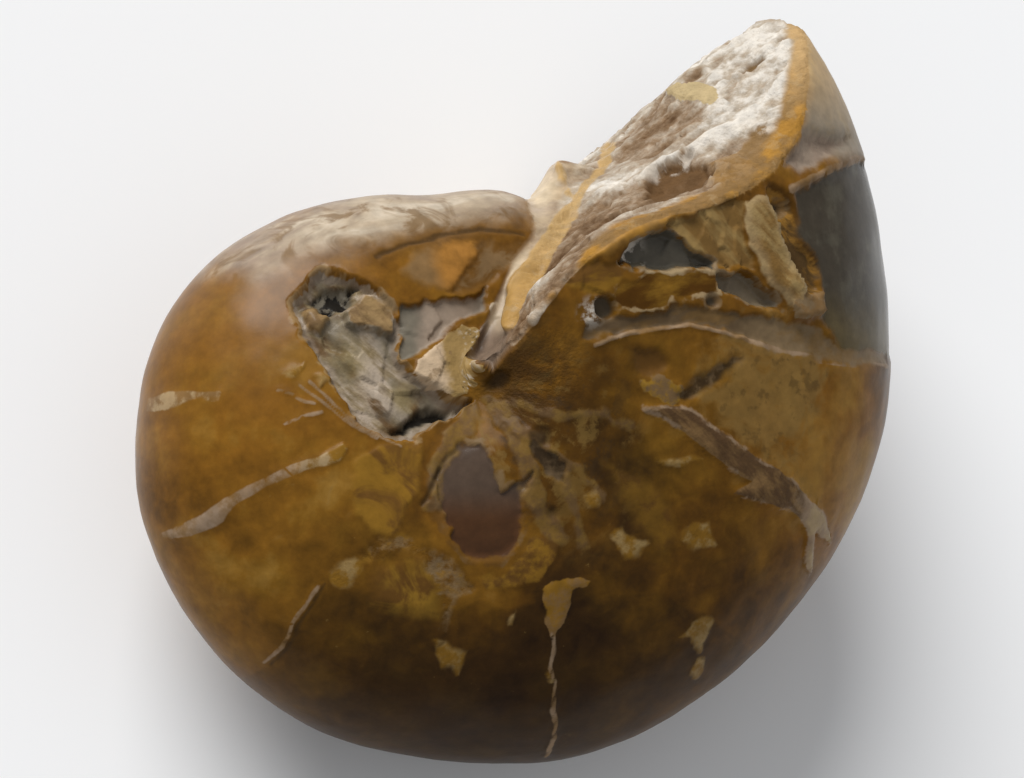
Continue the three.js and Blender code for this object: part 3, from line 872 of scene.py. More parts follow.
half_width = through(RIBBON_WIDTH)(pole_distance) / 2
branch_gap = beside(ragged, RIBBON_BRANCH) + 0.2
place["ribbon"] = half_width - np.minimum(beside(0.5 * (ragged + points), RIBBON), branch_gap)
border = flank_at(np.degrees(np.arctan2(points[:, 1], points[:, 0])), pole_distance)
lip_width = (2.6 + 1.0 * clouds(points, 5, 89)) * ease(pole_distance, 13, 21)
place["lip"] = lip_width - (border - ragged[:, 2])
place["crest"] = np.where(rough_break > 0.02, 0.8 - beside(chart, CREST), FAR_OFF)
print(len(place), "places on", len(points), "points")

# %% [markdown]
# ## Depth of each layer
#
# The layers are laid down in the order they were uncovered: a later one replaces the level of the one
# under it. Seams stand up because their mineral wears more slowly than calcite, and cracks sink in.

# %% Relief along the normal, in mm
def stretched(points, towards, factor=0.3):
    """Points squeezed along one direction, so that noise read at them is drawn out along it."""
    turn = np.radians(towards)
    way = np.array([np.cos(turn), np.sin(turn), 0])
    return points + np.outer(points @ way * (factor - 1), way)


def lay(depth, name, level, edge):
    """Sets the depth to a level inside a named place."""
    return depth + (level - depth) * ease(place[name], -edge, edge)


def dome(name, rise, across):
    """A swell that is highest `across` mm inside the edge."""
    return rise * np.sqrt(np.clip(place[name] / across, 0, 1))


swells = 0.16 * clouds(points, 9, 31) + 0.05 * clouds(points, 2.6, 33)
splinter = stretched(points, -38)
streaks = clouds(splinter, 1.5, 41)
grit = clouds(points, 0.8, 43)
chips = facets(points, 2.2, 45)
big_facets = facets(points, 4.5, 49)
across_shard = np.clip((points[:, 0] - 30) / 8, 0, 1)

# How deep each place lies and how soft its edge is, in the order in which the layers were uncovered.
SHARP = 0.22
LEVELS = [
    ("tip strip", 0.1 + swells, SHARP),
    ("slate", -0.2 + swells, 0.35),
    ("dish", -0.75 + 0.1 * chips, 0.9),
    ("dark lens", -0.3 + swells, 0.5),
    ("lens", 0.05 + swells, 0.3),
    ("blue grey", -0.75 + 0.15 * big_facets + 0.08 * streaks, SHARP),
    ("pocket", -1.6 + 0.35 * streaks + 0.3 * big_facets, 0.3),
    ("pocket gap", -2.9 + 0.2 * grit, 0.35),
    ("crevice", -2.9 + 0.3 * chips, 0.4),
    ("lump", -1.0 + dome("lump", 1.0, 1.4) + 0.15 * chips, SHARP),
    ("shelf", -0.55 + 0.15 * streaks + 0.1 * chips, SHARP),
    ("boss", 0.2 + 0.2 * big_facets + 0.08 * chips, 0.3),
    ("lobe", 0.1 + dome("lobe", 0.7, 1.2), SHARP),
    ("scar", -0.12 + 0.12 * chips + 0.05 * grit, SHARP),
    ("gold patch", 0.1 + swells, SHARP),
    ("gold plate", 0.12 + swells, SHARP),
    ("tongue", 0.1 + swells, 0.6),
    ("brown hollow", -0.55 + swells, 0.4),
    ("gold lobe", 0.2 + swells, SHARP),
    ("groove", -0.32 + 0.1 * chips, SHARP),
    ("smoky", -0.5 + dome("smoky", 0.35, 4), SHARP),
    ("fringe", 0.12 + 0.06 * chips, SHARP),
    ("wedge", 0.15 + 0.04 * chips, SHARP),
    ("ring", -0.35 + swells, SHARP),
    ("rim", 0.5 + 0.2 * clouds(points, 4, 51), 0.8),
    ("plate", -0.45 + 0.2 * facets(points, 3, 53), SHARP),
    ("amber block", -0.1 + 0.25 * big_facets, SHARP),
    ("bar", -0.1 + swells, SHARP),
    ("window", -1.8 + 0.3 * big_facets, 0.35),
    ("small window", -1.5 + 0.3 * big_facets, 0.35),
    ("band", -0.42 + 0.06 * grit, 0.35),
    ("shard", 0.1 + 0.8 * across_shard + 0.12 * streaks + 0.1 * chips, SHARP),
    ("shard edge", -1.0 + 0.25 * streaks, 0.3),
    ("shard end", 0.8 + 0.2 * chips, SHARP),
    ("pole pit", -0.4, 0.4),
    ("siphuncle", -1.4, 0.4),
    ("slot", -0.8, 0.4),
    ("upper cavity", -0.35, 0.4),
    ("lower cavity", -0.3, 0.4),
    ("edge slot", -2.0, 0.4),
    ("flakes", 0.1 + 0.05 * chips, SHARP),
    ("main strip", 0.45 + 0.06 * streaks + 0.04 * grit, SHARP),
    ("left strip", 0.22 + 0.04 * chips, SHARP),
    ("nick", 0.15 + swells, SHARP),
]
near = swells.copy()
for name, level, edge in LEVELS:
    near = lay(near, name, level, edge)
near = near + dome("bead", 0.7, 0.95)

seams = np.full(len(points), FAR_OFF)
cracks = np.full(len(points), FAR_OFF)
far = swells.copy()
for name, (course, side, width, height) in RIDGES.items():
    flank = near_flank if side == NEAR else far_flank
    uneven = width / 2 * (0.9 + 0.3 * clouds(points, 2.4, 61))
    here = np.where(flank > 0.02, uneven - beside(smooth_flat, course), FAR_OFF)
    swell = height * ease(here, -0.25, 0.3) * (1 + 0.3 * clouds(points, 1.6, 63))
    near = near + swell * (side == NEAR)
    far = far + swell * (side == FAR)
    if height > 0:
        seams = np.maximum(seams, here)
    else:
        cracks = np.maximum(cracks, here)
place["seams"] = seams
place["cracks"] = cracks
place["strands"] = np.full(len(points), FAR_OFF)
for course, width, height in STRANDS:
    here = np.where(seen_near, width / 2 * (1 + 0.5 * clouds(points, 2, 65)) - beside(flat, course), FAR_OFF)
    near = near + height * ease(here, -0.25, 0.3) * (1 + 0.4 * chips)
    place["strands"] = np.maximum(place["strands"], here)

layered = stretched(points, 12, 0.35)
broken = 0.6 * clouds(layered, 5, 71) + 0.32 * facets(layered, 2.2, 73) + 0.22 * clouds(layered, 1.3, 75)
broken = lay(broken, "hollow", -1.2 + 0.4 * streaks, 0.5)
sugary = 0.28 * facets(layered, 1.7, 77) + 0.25 * clouds(layered, 1.3, 79) + 0.15 * grit
broken = lay(broken, "sugar", 0.1 + sugary, 1.0)
broken = lay(broken, "orange patch", 0.1 + 0.3 * chips, 0.5)
broken = lay(broken, "amber facet", -0.3, 0.4)
broken = lay(broken, "yellow plate", 0.45, 0.15)
broken = lay(broken, "tip hole", -0.9, 0.4)
broken = broken + 0.45 * ease(place["crest"], -1.1, 0.7)
broken = broken + (0.1 * clouds(points, 4, 87) - broken) * 0.8 * ease(place["lip"], -0.3, 0.6)
soft = 0.35 * clouds(points, 7, 81) + 0.12 * facets(points, 4, 83) - 0.3
soft = soft + (0.7 - soft) * ease(place["ribbon"], -0.35, 0.35)

ribbon_share = ease(place["ribbon"], -0.35, 0.35)
pole_fill = 1.6 * np.exp(-(pole_distance / 6) ** 2)
near = near + pole_fill
torn_places = (
    "pocket", "crevice", "lump", "shelf", "boss", "shard edge", "shard", "scar", "flakes", "dish",
    "main strip",
)
torn = np.max([ease(place[name], -0.2, 0.3) for name in torn_places], axis=0)
relief = near * near_flank + far * far_flank + swells * (1 - near_flank - far_flank - on_break)
relief = relief + broken * rough_break + soft * ledge + 0.5 * ribbon_share * (1 - on_break)
sculpted = points + normals * relief[:, None]
print("relief from", relief.min().round(2), "to", relief.max().round(2), "mm")

# %% [markdown]
# ## What the colours read
#
# A fossil's colours follow its structure: a window is dark because the clear calcite under it is, and a
# torn edge gets a pale line that is a painted highlight. So the same distances that shaped the relief are
# stored on the points, along with each point's place in the coil. The material reads nothing else.

# %% Store the places on the points
def store(mesh, name, kind, values):
    made = mesh.attributes.new(name, kind, "POINT")
    made.data.foreach_set("vector" if kind == "FLOAT_VECTOR" else "value", values)


ZONE_HEART = 0.15  # the share of a zone's reach over which it is at full strength
stone_mesh = rough_stone.data
stone_mesh.vertices.foreach_set("co", sculpted.ravel())
for name, values in place.items():
    store(stone_mesh, name, "FLOAT", np.clip(values, FAR_OFF, 9).astype(np.float32))
for name, values in {
    "rough break": rough_break, "ledge": ledge, "near": near_flank, "torn": torn,
    "rise": np.clip(broken * rough_break + streaks * near_flank, -1, 1),
}.items():
    store(stone_mesh, name, "FLOAT", values.astype(np.float32))
for name, spots in ZONES.items():
    strength = [
        top * ease(np.hypot(points[:, 0] - x, points[:, 1] - y), reach, reach * ZONE_HEART)
        for x, y, reach, top in spots
    ]
    store(stone_mesh, name, "FLOAT", np.sum(strength, axis=0).astype(np.float32))
store(stone_mesh, "coil", "FLOAT_VECTOR", points.ravel().astype(np.float32))
stone_mesh.update()
print("stored:", len(stone_mesh.attributes), "attributes")

# %% [markdown]
# ## The finish
#
# The stone is one lump, so it has one material: amber calcite first, then each layer painted over what
# lies under it, in the same order as the relief. The depth of real calcite is suggested by clouds of
# colour, and the polish is a thin clear coat. An image would be the usual way, but noise and stored
# distances give edges that stay sharp at any size and follow the relief exactly.

# %% Colours by name
AMBER_RAMP = [
    (0.0, (0.020, 0.009, 0.0033, 1)), (0.25, (0.050, 0.023, 0.0049, 1)), (0.5, (0.112, 0.048, 0.0058, 1)),
    (0.75, (0.200, 0.085, 0.0092, 1)), (1.0, (0.290, 0.145, 0.0262, 1)),
]
OLIVE_RAMP = [
    (0.0, (0.020, 0.011, 0.0033, 1)), (0.25, (0.050, 0.027, 0.0049, 1)), (0.5, (0.115, 0.061, 0.0066, 1)),
    (0.75, (0.195, 0.104, 0.0118, 1)), (1.0, (0.290, 0.168, 0.0330, 1)),
]
BREAK_RAMP = [
    (0.0, (0.10, 0.052, 0.022, 1)), (0.3, (0.20, 0.128, 0.072, 1)), (0.52, (0.30, 0.225, 0.155, 1)),
    (0.72, (0.40, 0.335, 0.26, 1)), (1.0, (0.62, 0.57, 0.50, 1)),
]
FLECK_GOLD = (0.25, 0.155, 0.045, 1)
SPECKLED_TAN = (0.225, 0.135, 0.040, 1)
SHADOW_BROWN = (0.042, 0.023, 0.008, 1)
STRAND_GOLD = (0.175, 0.102, 0.026, 1)
STRAND_BROWN = (0.040, 0.024, 0.011, 1)
CREAM = (0.36, 0.26, 0.14, 1)
FLAKE_TAN = (0.32, 0.215, 0.085, 1)
# Pale brown for bruised mineral, also used as a painted highlight along torn edges.
BRUISED_AND_EDGE_HIGHLIGHT = (0.20, 0.135, 0.070, 1)
SEAM_TAN = (0.20, 0.115, 0.045, 1)
SEAM_PINK = (0.29, 0.20, 0.125, 1)
STRIP_BROWN = (0.098, 0.053, 0.023, 1)
# Near black painted as shade in the gap under the pocket's rim and in the crevice.
GAP_SHADE_BLACK = (0.014, 0.011, 0.008, 1)
PEARL = (0.37, 0.29, 0.20, 1)
PEARL_LILAC = (0.25, 0.185, 0.135, 1)
PEARL_WHITE = (0.48, 0.40, 0.30, 1)
SLATE = (0.060, 0.048, 0.033, 1)
SLATE_WARM = (0.13, 0.095, 0.040, 1)
SLATE_PALE = (0.105, 0.092, 0.064, 1)
TIP_TAN = (0.44, 0.29, 0.13, 1)
TIP_GREY = (0.27, 0.22, 0.16, 1)
LENS_ORANGE = (0.33, 0.150, 0.030, 1)
LENS_BROWN = (0.125, 0.058, 0.012, 1)
BLUE_GREY = (0.165, 0.142, 0.105, 1)
FOOT_LILAC = (0.185, 0.130, 0.09, 1)
LILAC_GREY = (0.30, 0.23, 0.17, 1)
POCKET_OLIVE = (0.205, 0.150, 0.078, 1)
POCKET_STREAK = (0.42, 0.34, 0.26, 1)
POCKET_BROWN = (0.12, 0.07, 0.03, 1)
YELLOW_GREEN = (0.27, 0.20, 0.075, 1)
SHELF_BROWN = (0.170, 0.102, 0.044, 1)
LUMP_TAN = (0.27, 0.172, 0.073, 1)
BOSS_PINK = (0.50, 0.37, 0.24, 1)
BOSS_TAN = (0.28, 0.180, 0.064, 1)
LOBE_LILAC = (0.17, 0.12, 0.085, 1)
SMOKY = (0.078, 0.050, 0.033, 1)
SMOKY_RED = (0.070, 0.028, 0.009, 1)
GOLD = (0.225, 0.114, 0.014, 1)
BRIGHT_GOLD = (0.27, 0.147, 0.019, 1)
WINDOW_DARK = (0.098, 0.085, 0.062, 1)
WINDOW_BROWN = (0.195, 0.150, 0.095, 1)
SIPHUNCLE_GREY = (0.100, 0.075, 0.047, 1)
BAR_AMBER = (0.084, 0.034, 0.004, 1)
RIM_AMBER = (0.34, 0.170, 0.030, 1)
BAND_GREY = (0.12, 0.078, 0.040, 1)
PLATE_TAN = (0.190, 0.105, 0.030, 1)
SHARD_GOLD = (0.32, 0.215, 0.085, 1)
SHARD_BROWN = (0.10, 0.055, 0.018, 1)
SUGAR = (0.60, 0.54, 0.46, 1)
BREAK_DARK = (0.13, 0.070, 0.028, 1)
BREAK_ORANGE = (0.22, 0.115, 0.026, 1)
FACET_AMBER = (0.21, 0.120, 0.042, 1)
LIP_TAN = (0.42, 0.27, 0.12, 1)
BREAK_YELLOW = (0.42, 0.32, 0.17, 1)
LEDGE_CREAM = (0.54, 0.43, 0.29, 1)
LEDGE_LILAC = (0.40, 0.31, 0.22, 1)
RIBBON_GOLD = (0.42, 0.27, 0.11, 1)
RIBBON_AMBER = (0.37, 0.215, 0.065, 1)


# %% [markdown]
# ## Painting in layers
#
# Almost every layer does the same three things: it reads how far inside its place a point lies, cuts that
# distance with ragged teeth, and mixes its colour over the layers below. A small class holds the colour,
# the roughness and the polish reached so far, so that each later cell reads like a list of coats of paint.

# %% Layers of paint
class Paint:
    """The stone's colour, roughness and polish, painted layer over layer."""

    def __init__(self, bench):
        self.bench = bench
        self.colour = (0.5, 0.5, 0.5, 1)
        self.roughness = 0.32
        self.polish = 0.04
        self.coil = bench.add("ShaderNodeAttribute", {"attribute_name": "coil"}, out=1)
        parts = bench.tree.nodes.new("ShaderNodeSeparateXYZ")
        bench.tree.links.new(self.coil.socket.node.outputs["Color"], parts.inputs[0])
        self.x, self.y, self.z = (Wire(bench.tree, parts.outputs[k]) for k in range(3))

    def noise(self, size, detail=3, towards=None, factor=0.3, warp=0.0, seed=0):
        """Noise from 0 to 1 about `size` mm across, drawn out along a direction if one is given."""
        at = self.bench.add(
            "ShaderNodeVectorMath", {"operation": "ADD"}, {0: self.coil, 1: (seed, 3 * seed, seed)},
        )
        if towards is not None:
            at = self.bench.add(
                "ShaderNodeMapping", {"vector_type": "TEXTURE"},
                {"Vector": at, "Rotation": (0, 0, math.radians(towards)), "Scale": (1 / factor, 1, 1)},
            )
        return self.bench.add(
            "ShaderNodeTexNoise", {"noise_dimensions": "3D"},
            {"Vector": at, "Scale": 1 / size, "Detail": detail, "Roughness": 0.58, "Distortion": warp},
        )

    def between(self, wire, low, high):
        """0 below low and 1 above high, as a smooth step."""
        return self.bench.add(
            "ShaderNodeMapRange", {"interpolation_type": "SMOOTHSTEP"},
            {"Value": wire, "From Min": low, "From Max": high},
        )

    def stored(self, name):
        return self.bench.add("ShaderNodeAttribute", {"attribute_name": name}, out=2)

    def share(self, name, start=-0.08, end=0.08, ragged=1.0):
        """How much a place covers: its stored distance made ragged and cut between start and end, in mm."""
        return self.between(self.stored(name) + self.teeth * ragged, start, end)

    def edge_of(self, name, outer=-0.35, inner=0.1):
        """A thin broken line round the edge of a place; where it is pale, it is a painted highlight."""
        ragged_distance = self.stored(name) + self.teeth
        rising = self.between(ragged_distance, outer - 0.2, outer + 0.1)
        return rising * (1 - self.between(ragged_distance, inner - 0.1, inner + 0.2)) * self.chipped

    def mix(self, share, under, over):
        return self.bench.add("ShaderNodeMix", {"data_type": "RGBA"}, {0: share, 6: under, 7: over}, out=2)

    def ramp(self, stops, wire):
        return self.bench.add("ShaderNodeValToRGB", {"stops": stops}, {"Fac": wire})

    def lit(self, factor):
        """Makes the colour so far lighter or darker by a factor."""
        self.colour = self.bench.add(
            "ShaderNodeVectorMath", {"operation": "SCALE"}, {0: self.colour, "Scale": factor},
        )

    def over(self, share, colour, roughness=None, polish=None):
        self.colour = self.mix(share, self.colour, colour)
        if roughness is not None:
            self.roughness = self.roughness + share * (roughness - self.roughness)
        if polish is not None:
            self.polish = self.polish + share * (polish - self.polish)


# %% [markdown]
# ## Amber calcite
#
# The body of the stone is calcite stained by iron: honey where it is thin and clear, brown where it is
# deep. Three sizes of noise shift one tone along a ramp of amber colours, and a second ramp is more olive.
# Beside the pole the mineral grew in strands, so there the noise is read in directions from the pole. Shade
# is painted in too: the flank darkens towards its bottom and in the pit beside the pole.

# %% Amber calcite
def paint_amber(paint, big, small, fine):
    """Honey amber on the left, deep brown below and beside the pole, olive gold on the right."""
    noise, between, stored, over = paint.noise, paint.between, paint.stored, paint.over
    cloudy = noise(6.5, 4, seed=13)
    wisps = noise(3.2, 5, warp=0.6, seed=17)
    unrest = (big - 0.5) * 0.5 + (cloudy - 0.5) * 0.8 + (wisps - 0.5) * 0.5
    still = between(paint.y, -22, -34) * 0.55
    # Painted shade: the stored tone darkens the bottom of the flank, and inside the deep outline the colour
    # darkens further towards the bottom.
    tone = 0.6 + unrest * (1 - stored("calm") - still) + (small - 0.5) * 0.12 + stored("tone")
    tone = tone - paint.share("deep", -0.2, 0.4, 0.4) * between(paint.y, -18, -25) * 0.12
    olive_share = between(cloudy + big * 0.3, 0.58, 0.8) * 0.3 + stored("olive")
    paint.colour = paint.mix(olive_share, paint.ramp(AMBER_RAMP, tone), paint.ramp(OLIVE_RAMP, tone))
    speckled = between(stored("tan") + (wisps - 0.5) * 2.0, 0.3, 0.9)
    over(speckled * 0.7, SPECKLED_TAN)
    over(speckled * between(small, 0.46, 0.34) * 0.4, SHADOW_BROWN)
    over(between(small + (fine - 0.5) * 0.5, 0.74, 0.80) * stored("specked") * 0.6, FLECK_GOLD)

    # Strands of gold and brown run out from the pole.
    away = (paint.x * paint.x + paint.y * paint.y).math("SQRT").math("MAXIMUM", 0.5)
    ray = paint.bench.add(
        "ShaderNodeCombineXYZ",
        inputs={"X": paint.x / away * 3.2 + (small - 0.5), "Y": paint.y / away * 3.2, "Z": away * 0.3},
    )
    strand = paint.bench.add(
        "ShaderNodeTexNoise", inputs={"Vector": ray, "Scale": 1.0, "Detail": 5.0, "Roughness": 0.65},
    )
    strands_here = stored("stranded").math("MAXIMUM", 0)
    over(strands_here * between(strand, 0.46, 0.36) * 0.6, STRAND_BROWN, 0.6)
    over(strands_here * between(strand, 0.50, 0.62) * 0.8, STRAND_GOLD, 0.6)
    # Painted shade in the pit beside the pole: wisps of dark brown over the calcite.
    over(stored("pole shade") * between(wisps, 0.66, 0.42) * 0.42, STRAND_BROWN, 0.7)


# %% [markdown]
# ## The outer layers
#
# What is left of the shell lies on the calcite as pale mother-of-pearl, grey slate-like mineral and thin
# gold plates. Each is a place from the outlines, with its own two colours and one noise that chooses
# between them.

# %% The outer layers, from the first whorl to the smoky window
def paint_outer_layers(paint, big, mid, small):
    noise, between, share, edge_of = paint.noise, paint.between, paint.share, paint.edge_of
    mix, over = paint.mix, paint.over
    stains = noise(5, 4, warp=0.8, seed=21)
    veils = noise(7, 4, towards=24, factor=0.45, warp=0.6, seed=23)
    pearl = mix(between(veils, 0.42, 0.60), PEARL_LILAC, PEARL)
    pearl = mix(between(veils + (big - 0.5) * 0.4, 0.56, 0.70), pearl, PEARL_WHITE)
    pearl = mix(between(stains, 0.50, 0.64) * 0.85, pearl, SHELF_BROWN)
    over(share("pearl", -1.6, 3.0), pearl, 0.38, 0.1)
    tip = mix(between(paint.y, 40, 29), TIP_TAN, TIP_GREY)
    over(share("tip strip", -1.6, 1.6), mix(between(stains, 0.5, 0.65) * 0.5, tip, CREAM), 0.42)
    slate = mix(between(mid, 0.5, 0.68) * 0.6, SLATE, SLATE_PALE)
    slate = mix(between(paint.y + (mid - 0.5) * 8, 13, 5) * 0.8, slate, SLATE_WARM)
    over(share("slate", -0.4, 0.7), slate, 0.24)
    over(share("dish", -0.6, 0.6), mix(between(stains, 0.42, 0.6), PEARL_LILAC, LILAC_GREY), 0.6)
    arch_shade = between(paint.stored("cracks"), -1.6, 0.2) * paint.stored("arched")
    over(arch_shade * 0.7, LENS_BROWN)
    over(share("dark lens", -0.6, 0.9), mix(between(stains, 0.45, 0.6), LENS_BROWN, SHELF_BROWN), 0.32)
    lens = mix(between(paint.x + (mid - 0.5) * 3, -4.0, -1.0), SEAM_TAN, LENS_ORANGE)
    over(share("lens", -0.5, 0.9), mix(between(stains, 0.54, 0.68) * 0.3, lens, LENS_BROWN), 0.3)
    over(share("gold plate", -0.5, 0.5), mix(between(stains, 0.46, 0.62), GOLD, LENS_BROWN), 0.3)
    over(
        share("gold patch", -1.0, 1.4) * 0.85,
        mix(between(stains, 0.45, 0.6), BRIGHT_GOLD, LENS_BROWN),
        0.35,
    )
    over(share("tongue", -0.9, 0.8) * 0.5, mix(between(small, 0.45, 0.7), GOLD, LENS_BROWN), 0.35)
    over(share("brown hollow", -0.4, 0.4), LENS_BROWN, 0.35)
    over(share("gold lobe", -0.1, 0.2), mix(between(small, 0.45, 0.62), BRIGHT_GOLD, SHELF_BROWN), 0.4)
    over(share("groove", -0.4, 0.5) * 0.9, mix(between(small, 0.45, 0.6), STRAND_BROWN, BAND_GREY), 0.5)
    scar = mix(between(stains + (small - 0.5) * 0.5, 0.42, 0.6), BRUISED_AND_EDGE_HIGHLIGHT, GOLD)
    over(share("scar", -0.4, 0.5) * between(small, 0.38, 0.58) * 0.8, scar, 0.45)
    # The smoky window's edge is pale towards the top, a painted highlight, and dark brown towards the bottom.
    over(
        edge_of("smoky", -0.7, 0.0) * 0.7,
        mix(between(mid + paint.y * 0.02, 0.1, 0.4), LENS_BROWN, BRUISED_AND_EDGE_HIGHLIGHT),
        0.45,
    )
    over(share("smoky", -0.2, 0.2), mix(between(paint.y, -10.5, -15), SMOKY, SMOKY_RED), 0.16, 0.3)
    over(share("fringe", -0.1, 0.4), mix(between(small, 0.40, 0.6), LENS_BROWN, GOLD), 0.4)
    torn = mix(between(small, 0.40, 0.60), POCKET_BROWN, STRAND_GOLD)
    over(share("strands", -0.3, 0.3) * 0.75, torn, 0.5)
    over(share("ring", -0.2, 0.3), mix(between(small, 0.4, 0.7), STRAND_BROWN, BAND_GREY), 0.45)
    over(share("wedge", -0.1, 0.1, 0.4), mix(between(small, 0.40, 0.64), GOLD, SEAM_TAN), 0.42)


# %% [markdown]
# ## The pocket beside the pole
#
# Here a piece of shell came away and left a hollow with a split floor, a gap under its rim painted black
# as shade, a few lumps and a pale boss. The floor's streaks all run the way the calcite splits, so its noise
# is drawn out along that direction, and the named tints sit where zones put them.

# %% The pocket, the boss and the bead beside the pole
def paint_pocket(paint, mid, small, fine, drawn):
    between, share, edge_of, stored = paint.between, paint.share, paint.edge_of, paint.stored
    mix, over = paint.mix, paint.over
    blue = mix(between(paint.x + (mid - 0.5) * 3, -6.2, -4.2), BLUE_GREY, LILAC_GREY)
    blue = mix(between(paint.x + (small - 0.5) * 2, 0.4, 3) * 0.6, blue, BLUE_GREY)
    over(share("blue grey", -0.2, 0.3), blue, 0.42)
    over(edge_of("pocket", -0.4, 0.1) * 0.45, CREAM, 0.5)
    floor = mix(between(drawn, 0.44, 0.60), POCKET_OLIVE, POCKET_STREAK)
    floor = mix(between(drawn, 0.46, 0.36), floor, POCKET_BROWN)
    floor = mix(between(mid, 0.46, 0.62) * 0.6, floor, BLUE_GREY)
    floor = mix(stored("yellow tint"), floor, YELLOW_GREEN)
    floor = mix(stored("streak tint") * between(drawn, 0.32, 0.46), floor, POCKET_STREAK)
    floor = mix(stored("brown tint"), floor, POCKET_BROWN)
    floor = mix(stored("blue tint"), floor, BLUE_GREY)
    floor = mix(between(stored("pocket"), 0.9, 0.1) * 0.6, floor, LILAC_GREY)
    over(share("pocket"), floor, 0.5, 0.1)
    # Painted shade: the gap under the pocket's rim and the crevice are painted near black.
    over(share("pocket gap", -0.3, 0.4), GAP_SHADE_BLACK, 0.7, 0.0)
    over(share("crevice", -0.3, 0.3), mix(between(small, 0.5, 0.6), GAP_SHADE_BLACK, BLUE_GREY), 0.6, 0.0)
    over(share("lump", -0.2, 0.2), mix(between(small, 0.42, 0.62), LUMP_TAN, SHELF_BROWN), 0.5, 0.1)
    over(edge_of("shelf", -0.2, 0.3) * 0.7, BRUISED_AND_EDGE_HIGHLIGHT)
    over(share("shelf", 0.1, 0.5), mix(between(drawn, 0.42, 0.60), SHELF_BROWN, LUMP_TAN), 0.5, 0.1)
    boss = mix(between(paint.x + (mid - 0.5) * 5, -3.6, -2.2), BOSS_PINK, BOSS_TAN)
    sparkle = mix(between(fine, 0.52, 0.66) * 0.6, BOSS_TAN, SUGAR)
    boss = mix(between(paint.x + (small - 0.5) * 4, -1.2, 1.0), boss, sparkle)
    over(share("boss"), mix(between(small, 0.60, 0.70) * 0.6, boss, SHELF_BROWN), 0.5, 0.1)
    over(share("lobe"), mix(between(paint.y, 5.4, 6.8), SHELF_BROWN, LOBE_LILAC), 0.3, 0.2)
    over(share("bead"), PEARL, 0.3, 0.3)


# %% [markdown]
# ## The mouth
#
# Below the break the last chambers are cut open: two dark windows, a bar of amber between them, the hole
# of the siphuncle, the tube that once joined the chambers, and one long splinter. Each window gets a thin
# broken pale line round it before its own colour, a painted highlight on its edge.

# %% The mouth, from the amber rim to the long shard
def paint_mouth(paint, mid, small, layers, drawn):
    between, share, edge_of, stored = paint.between, paint.share, paint.edge_of, paint.stored
    mix, over = paint.mix, paint.over
    over(share("rim", -0.6, 0.6), mix(between(mid, 0.5, 0.68) * 0.7, RIM_AMBER, FACET_AMBER), 0.35)
    over(share("plate", -0.2, 0.3), mix(between(drawn, 0.42, 0.60), PLATE_TAN, BOSS_TAN), 0.45)
    over(share("amber block", -0.3, 0.5), mix(between(layers, 0.42, 0.60), LENS_BROWN, GOLD), 0.35)
    over(edge_of("window", -0.4, 0.0), BRUISED_AND_EDGE_HIGHLIGHT)
    crystals = between(paint.x, 19, 16) * between(small, 0.5, 0.6)
    over(share("window"), mix(crystals, WINDOW_DARK, SUGAR), 0.14, 0.4)
    over(edge_of("small window", -0.4, 0.0), BRUISED_AND_EDGE_HIGHLIGHT)
    over(share("small window"), WINDOW_BROWN, 0.2, 0.3)
    over(edge_of("bar", -0.3, 0.15) * 0.8, CREAM)
    over(share("bar", 0.0, 0.3), mix(between(layers, 0.42, 0.66), BAR_AMBER, GOLD), 0.3)
    band = mix(between(paint.x + (mid - 0.5) * 10, 28, 34), BAND_GREY, BRUISED_AND_EDGE_HIGHLIGHT)
    over(share("band", -0.3, 0.3), mix(between(layers, 0.46, 0.62) * 0.6, band, PLATE_TAN), 0.42)
    shard = mix(between(drawn, 0.42, 0.60), SHARD_GOLD, PLATE_TAN)
    shard = mix(between(stored("shard"), 1.3, 0.2) * 0.5, shard, CREAM)
    over(share("shard", -0.15, 0.15, 0.5), shard, 0.42)
    over(share("shard edge", -0.2, 0.2), mix(between(drawn, 0.45, 0.6), SHARD_BROWN, RIM_AMBER), 0.4)
    over(share("shard end"), mix(between(small, 0.45, 0.6), SEAM_TAN, BRUISED_AND_EDGE_HIGHLIGHT), 0.55)
    over(stored("crystal tint") * between(small, 0.42, 0.54), SUGAR, 0.4)
    for name in ("siphuncle", "slot", "edge slot"):
        over(edge_of(name, -0.45, 0.1) * 0.6, BRUISED_AND_EDGE_HIGHLIGHT, 0.5)
        over(share(name, -0.1, 0.4, 0.3), SIPHUNCLE_GREY, 0.5, 0.0)
    # The dark brown in the pole pit is painted shadow; the upper and lower cavities get the same brown.
    for name in ("pole pit", "upper cavity", "lower cavity"):
        over(share(name, -0.6, 0.8) * 0.8, STRAND_BROWN, 0.6, 0.0)


# %% [markdown]
# ## Lines on the flank
#
# Strips, seams, cracks and splinters come last of the flank's coats, because on the stone they cut through
# everything else. The courses already have a ragged distance, so only their colour is chosen here.

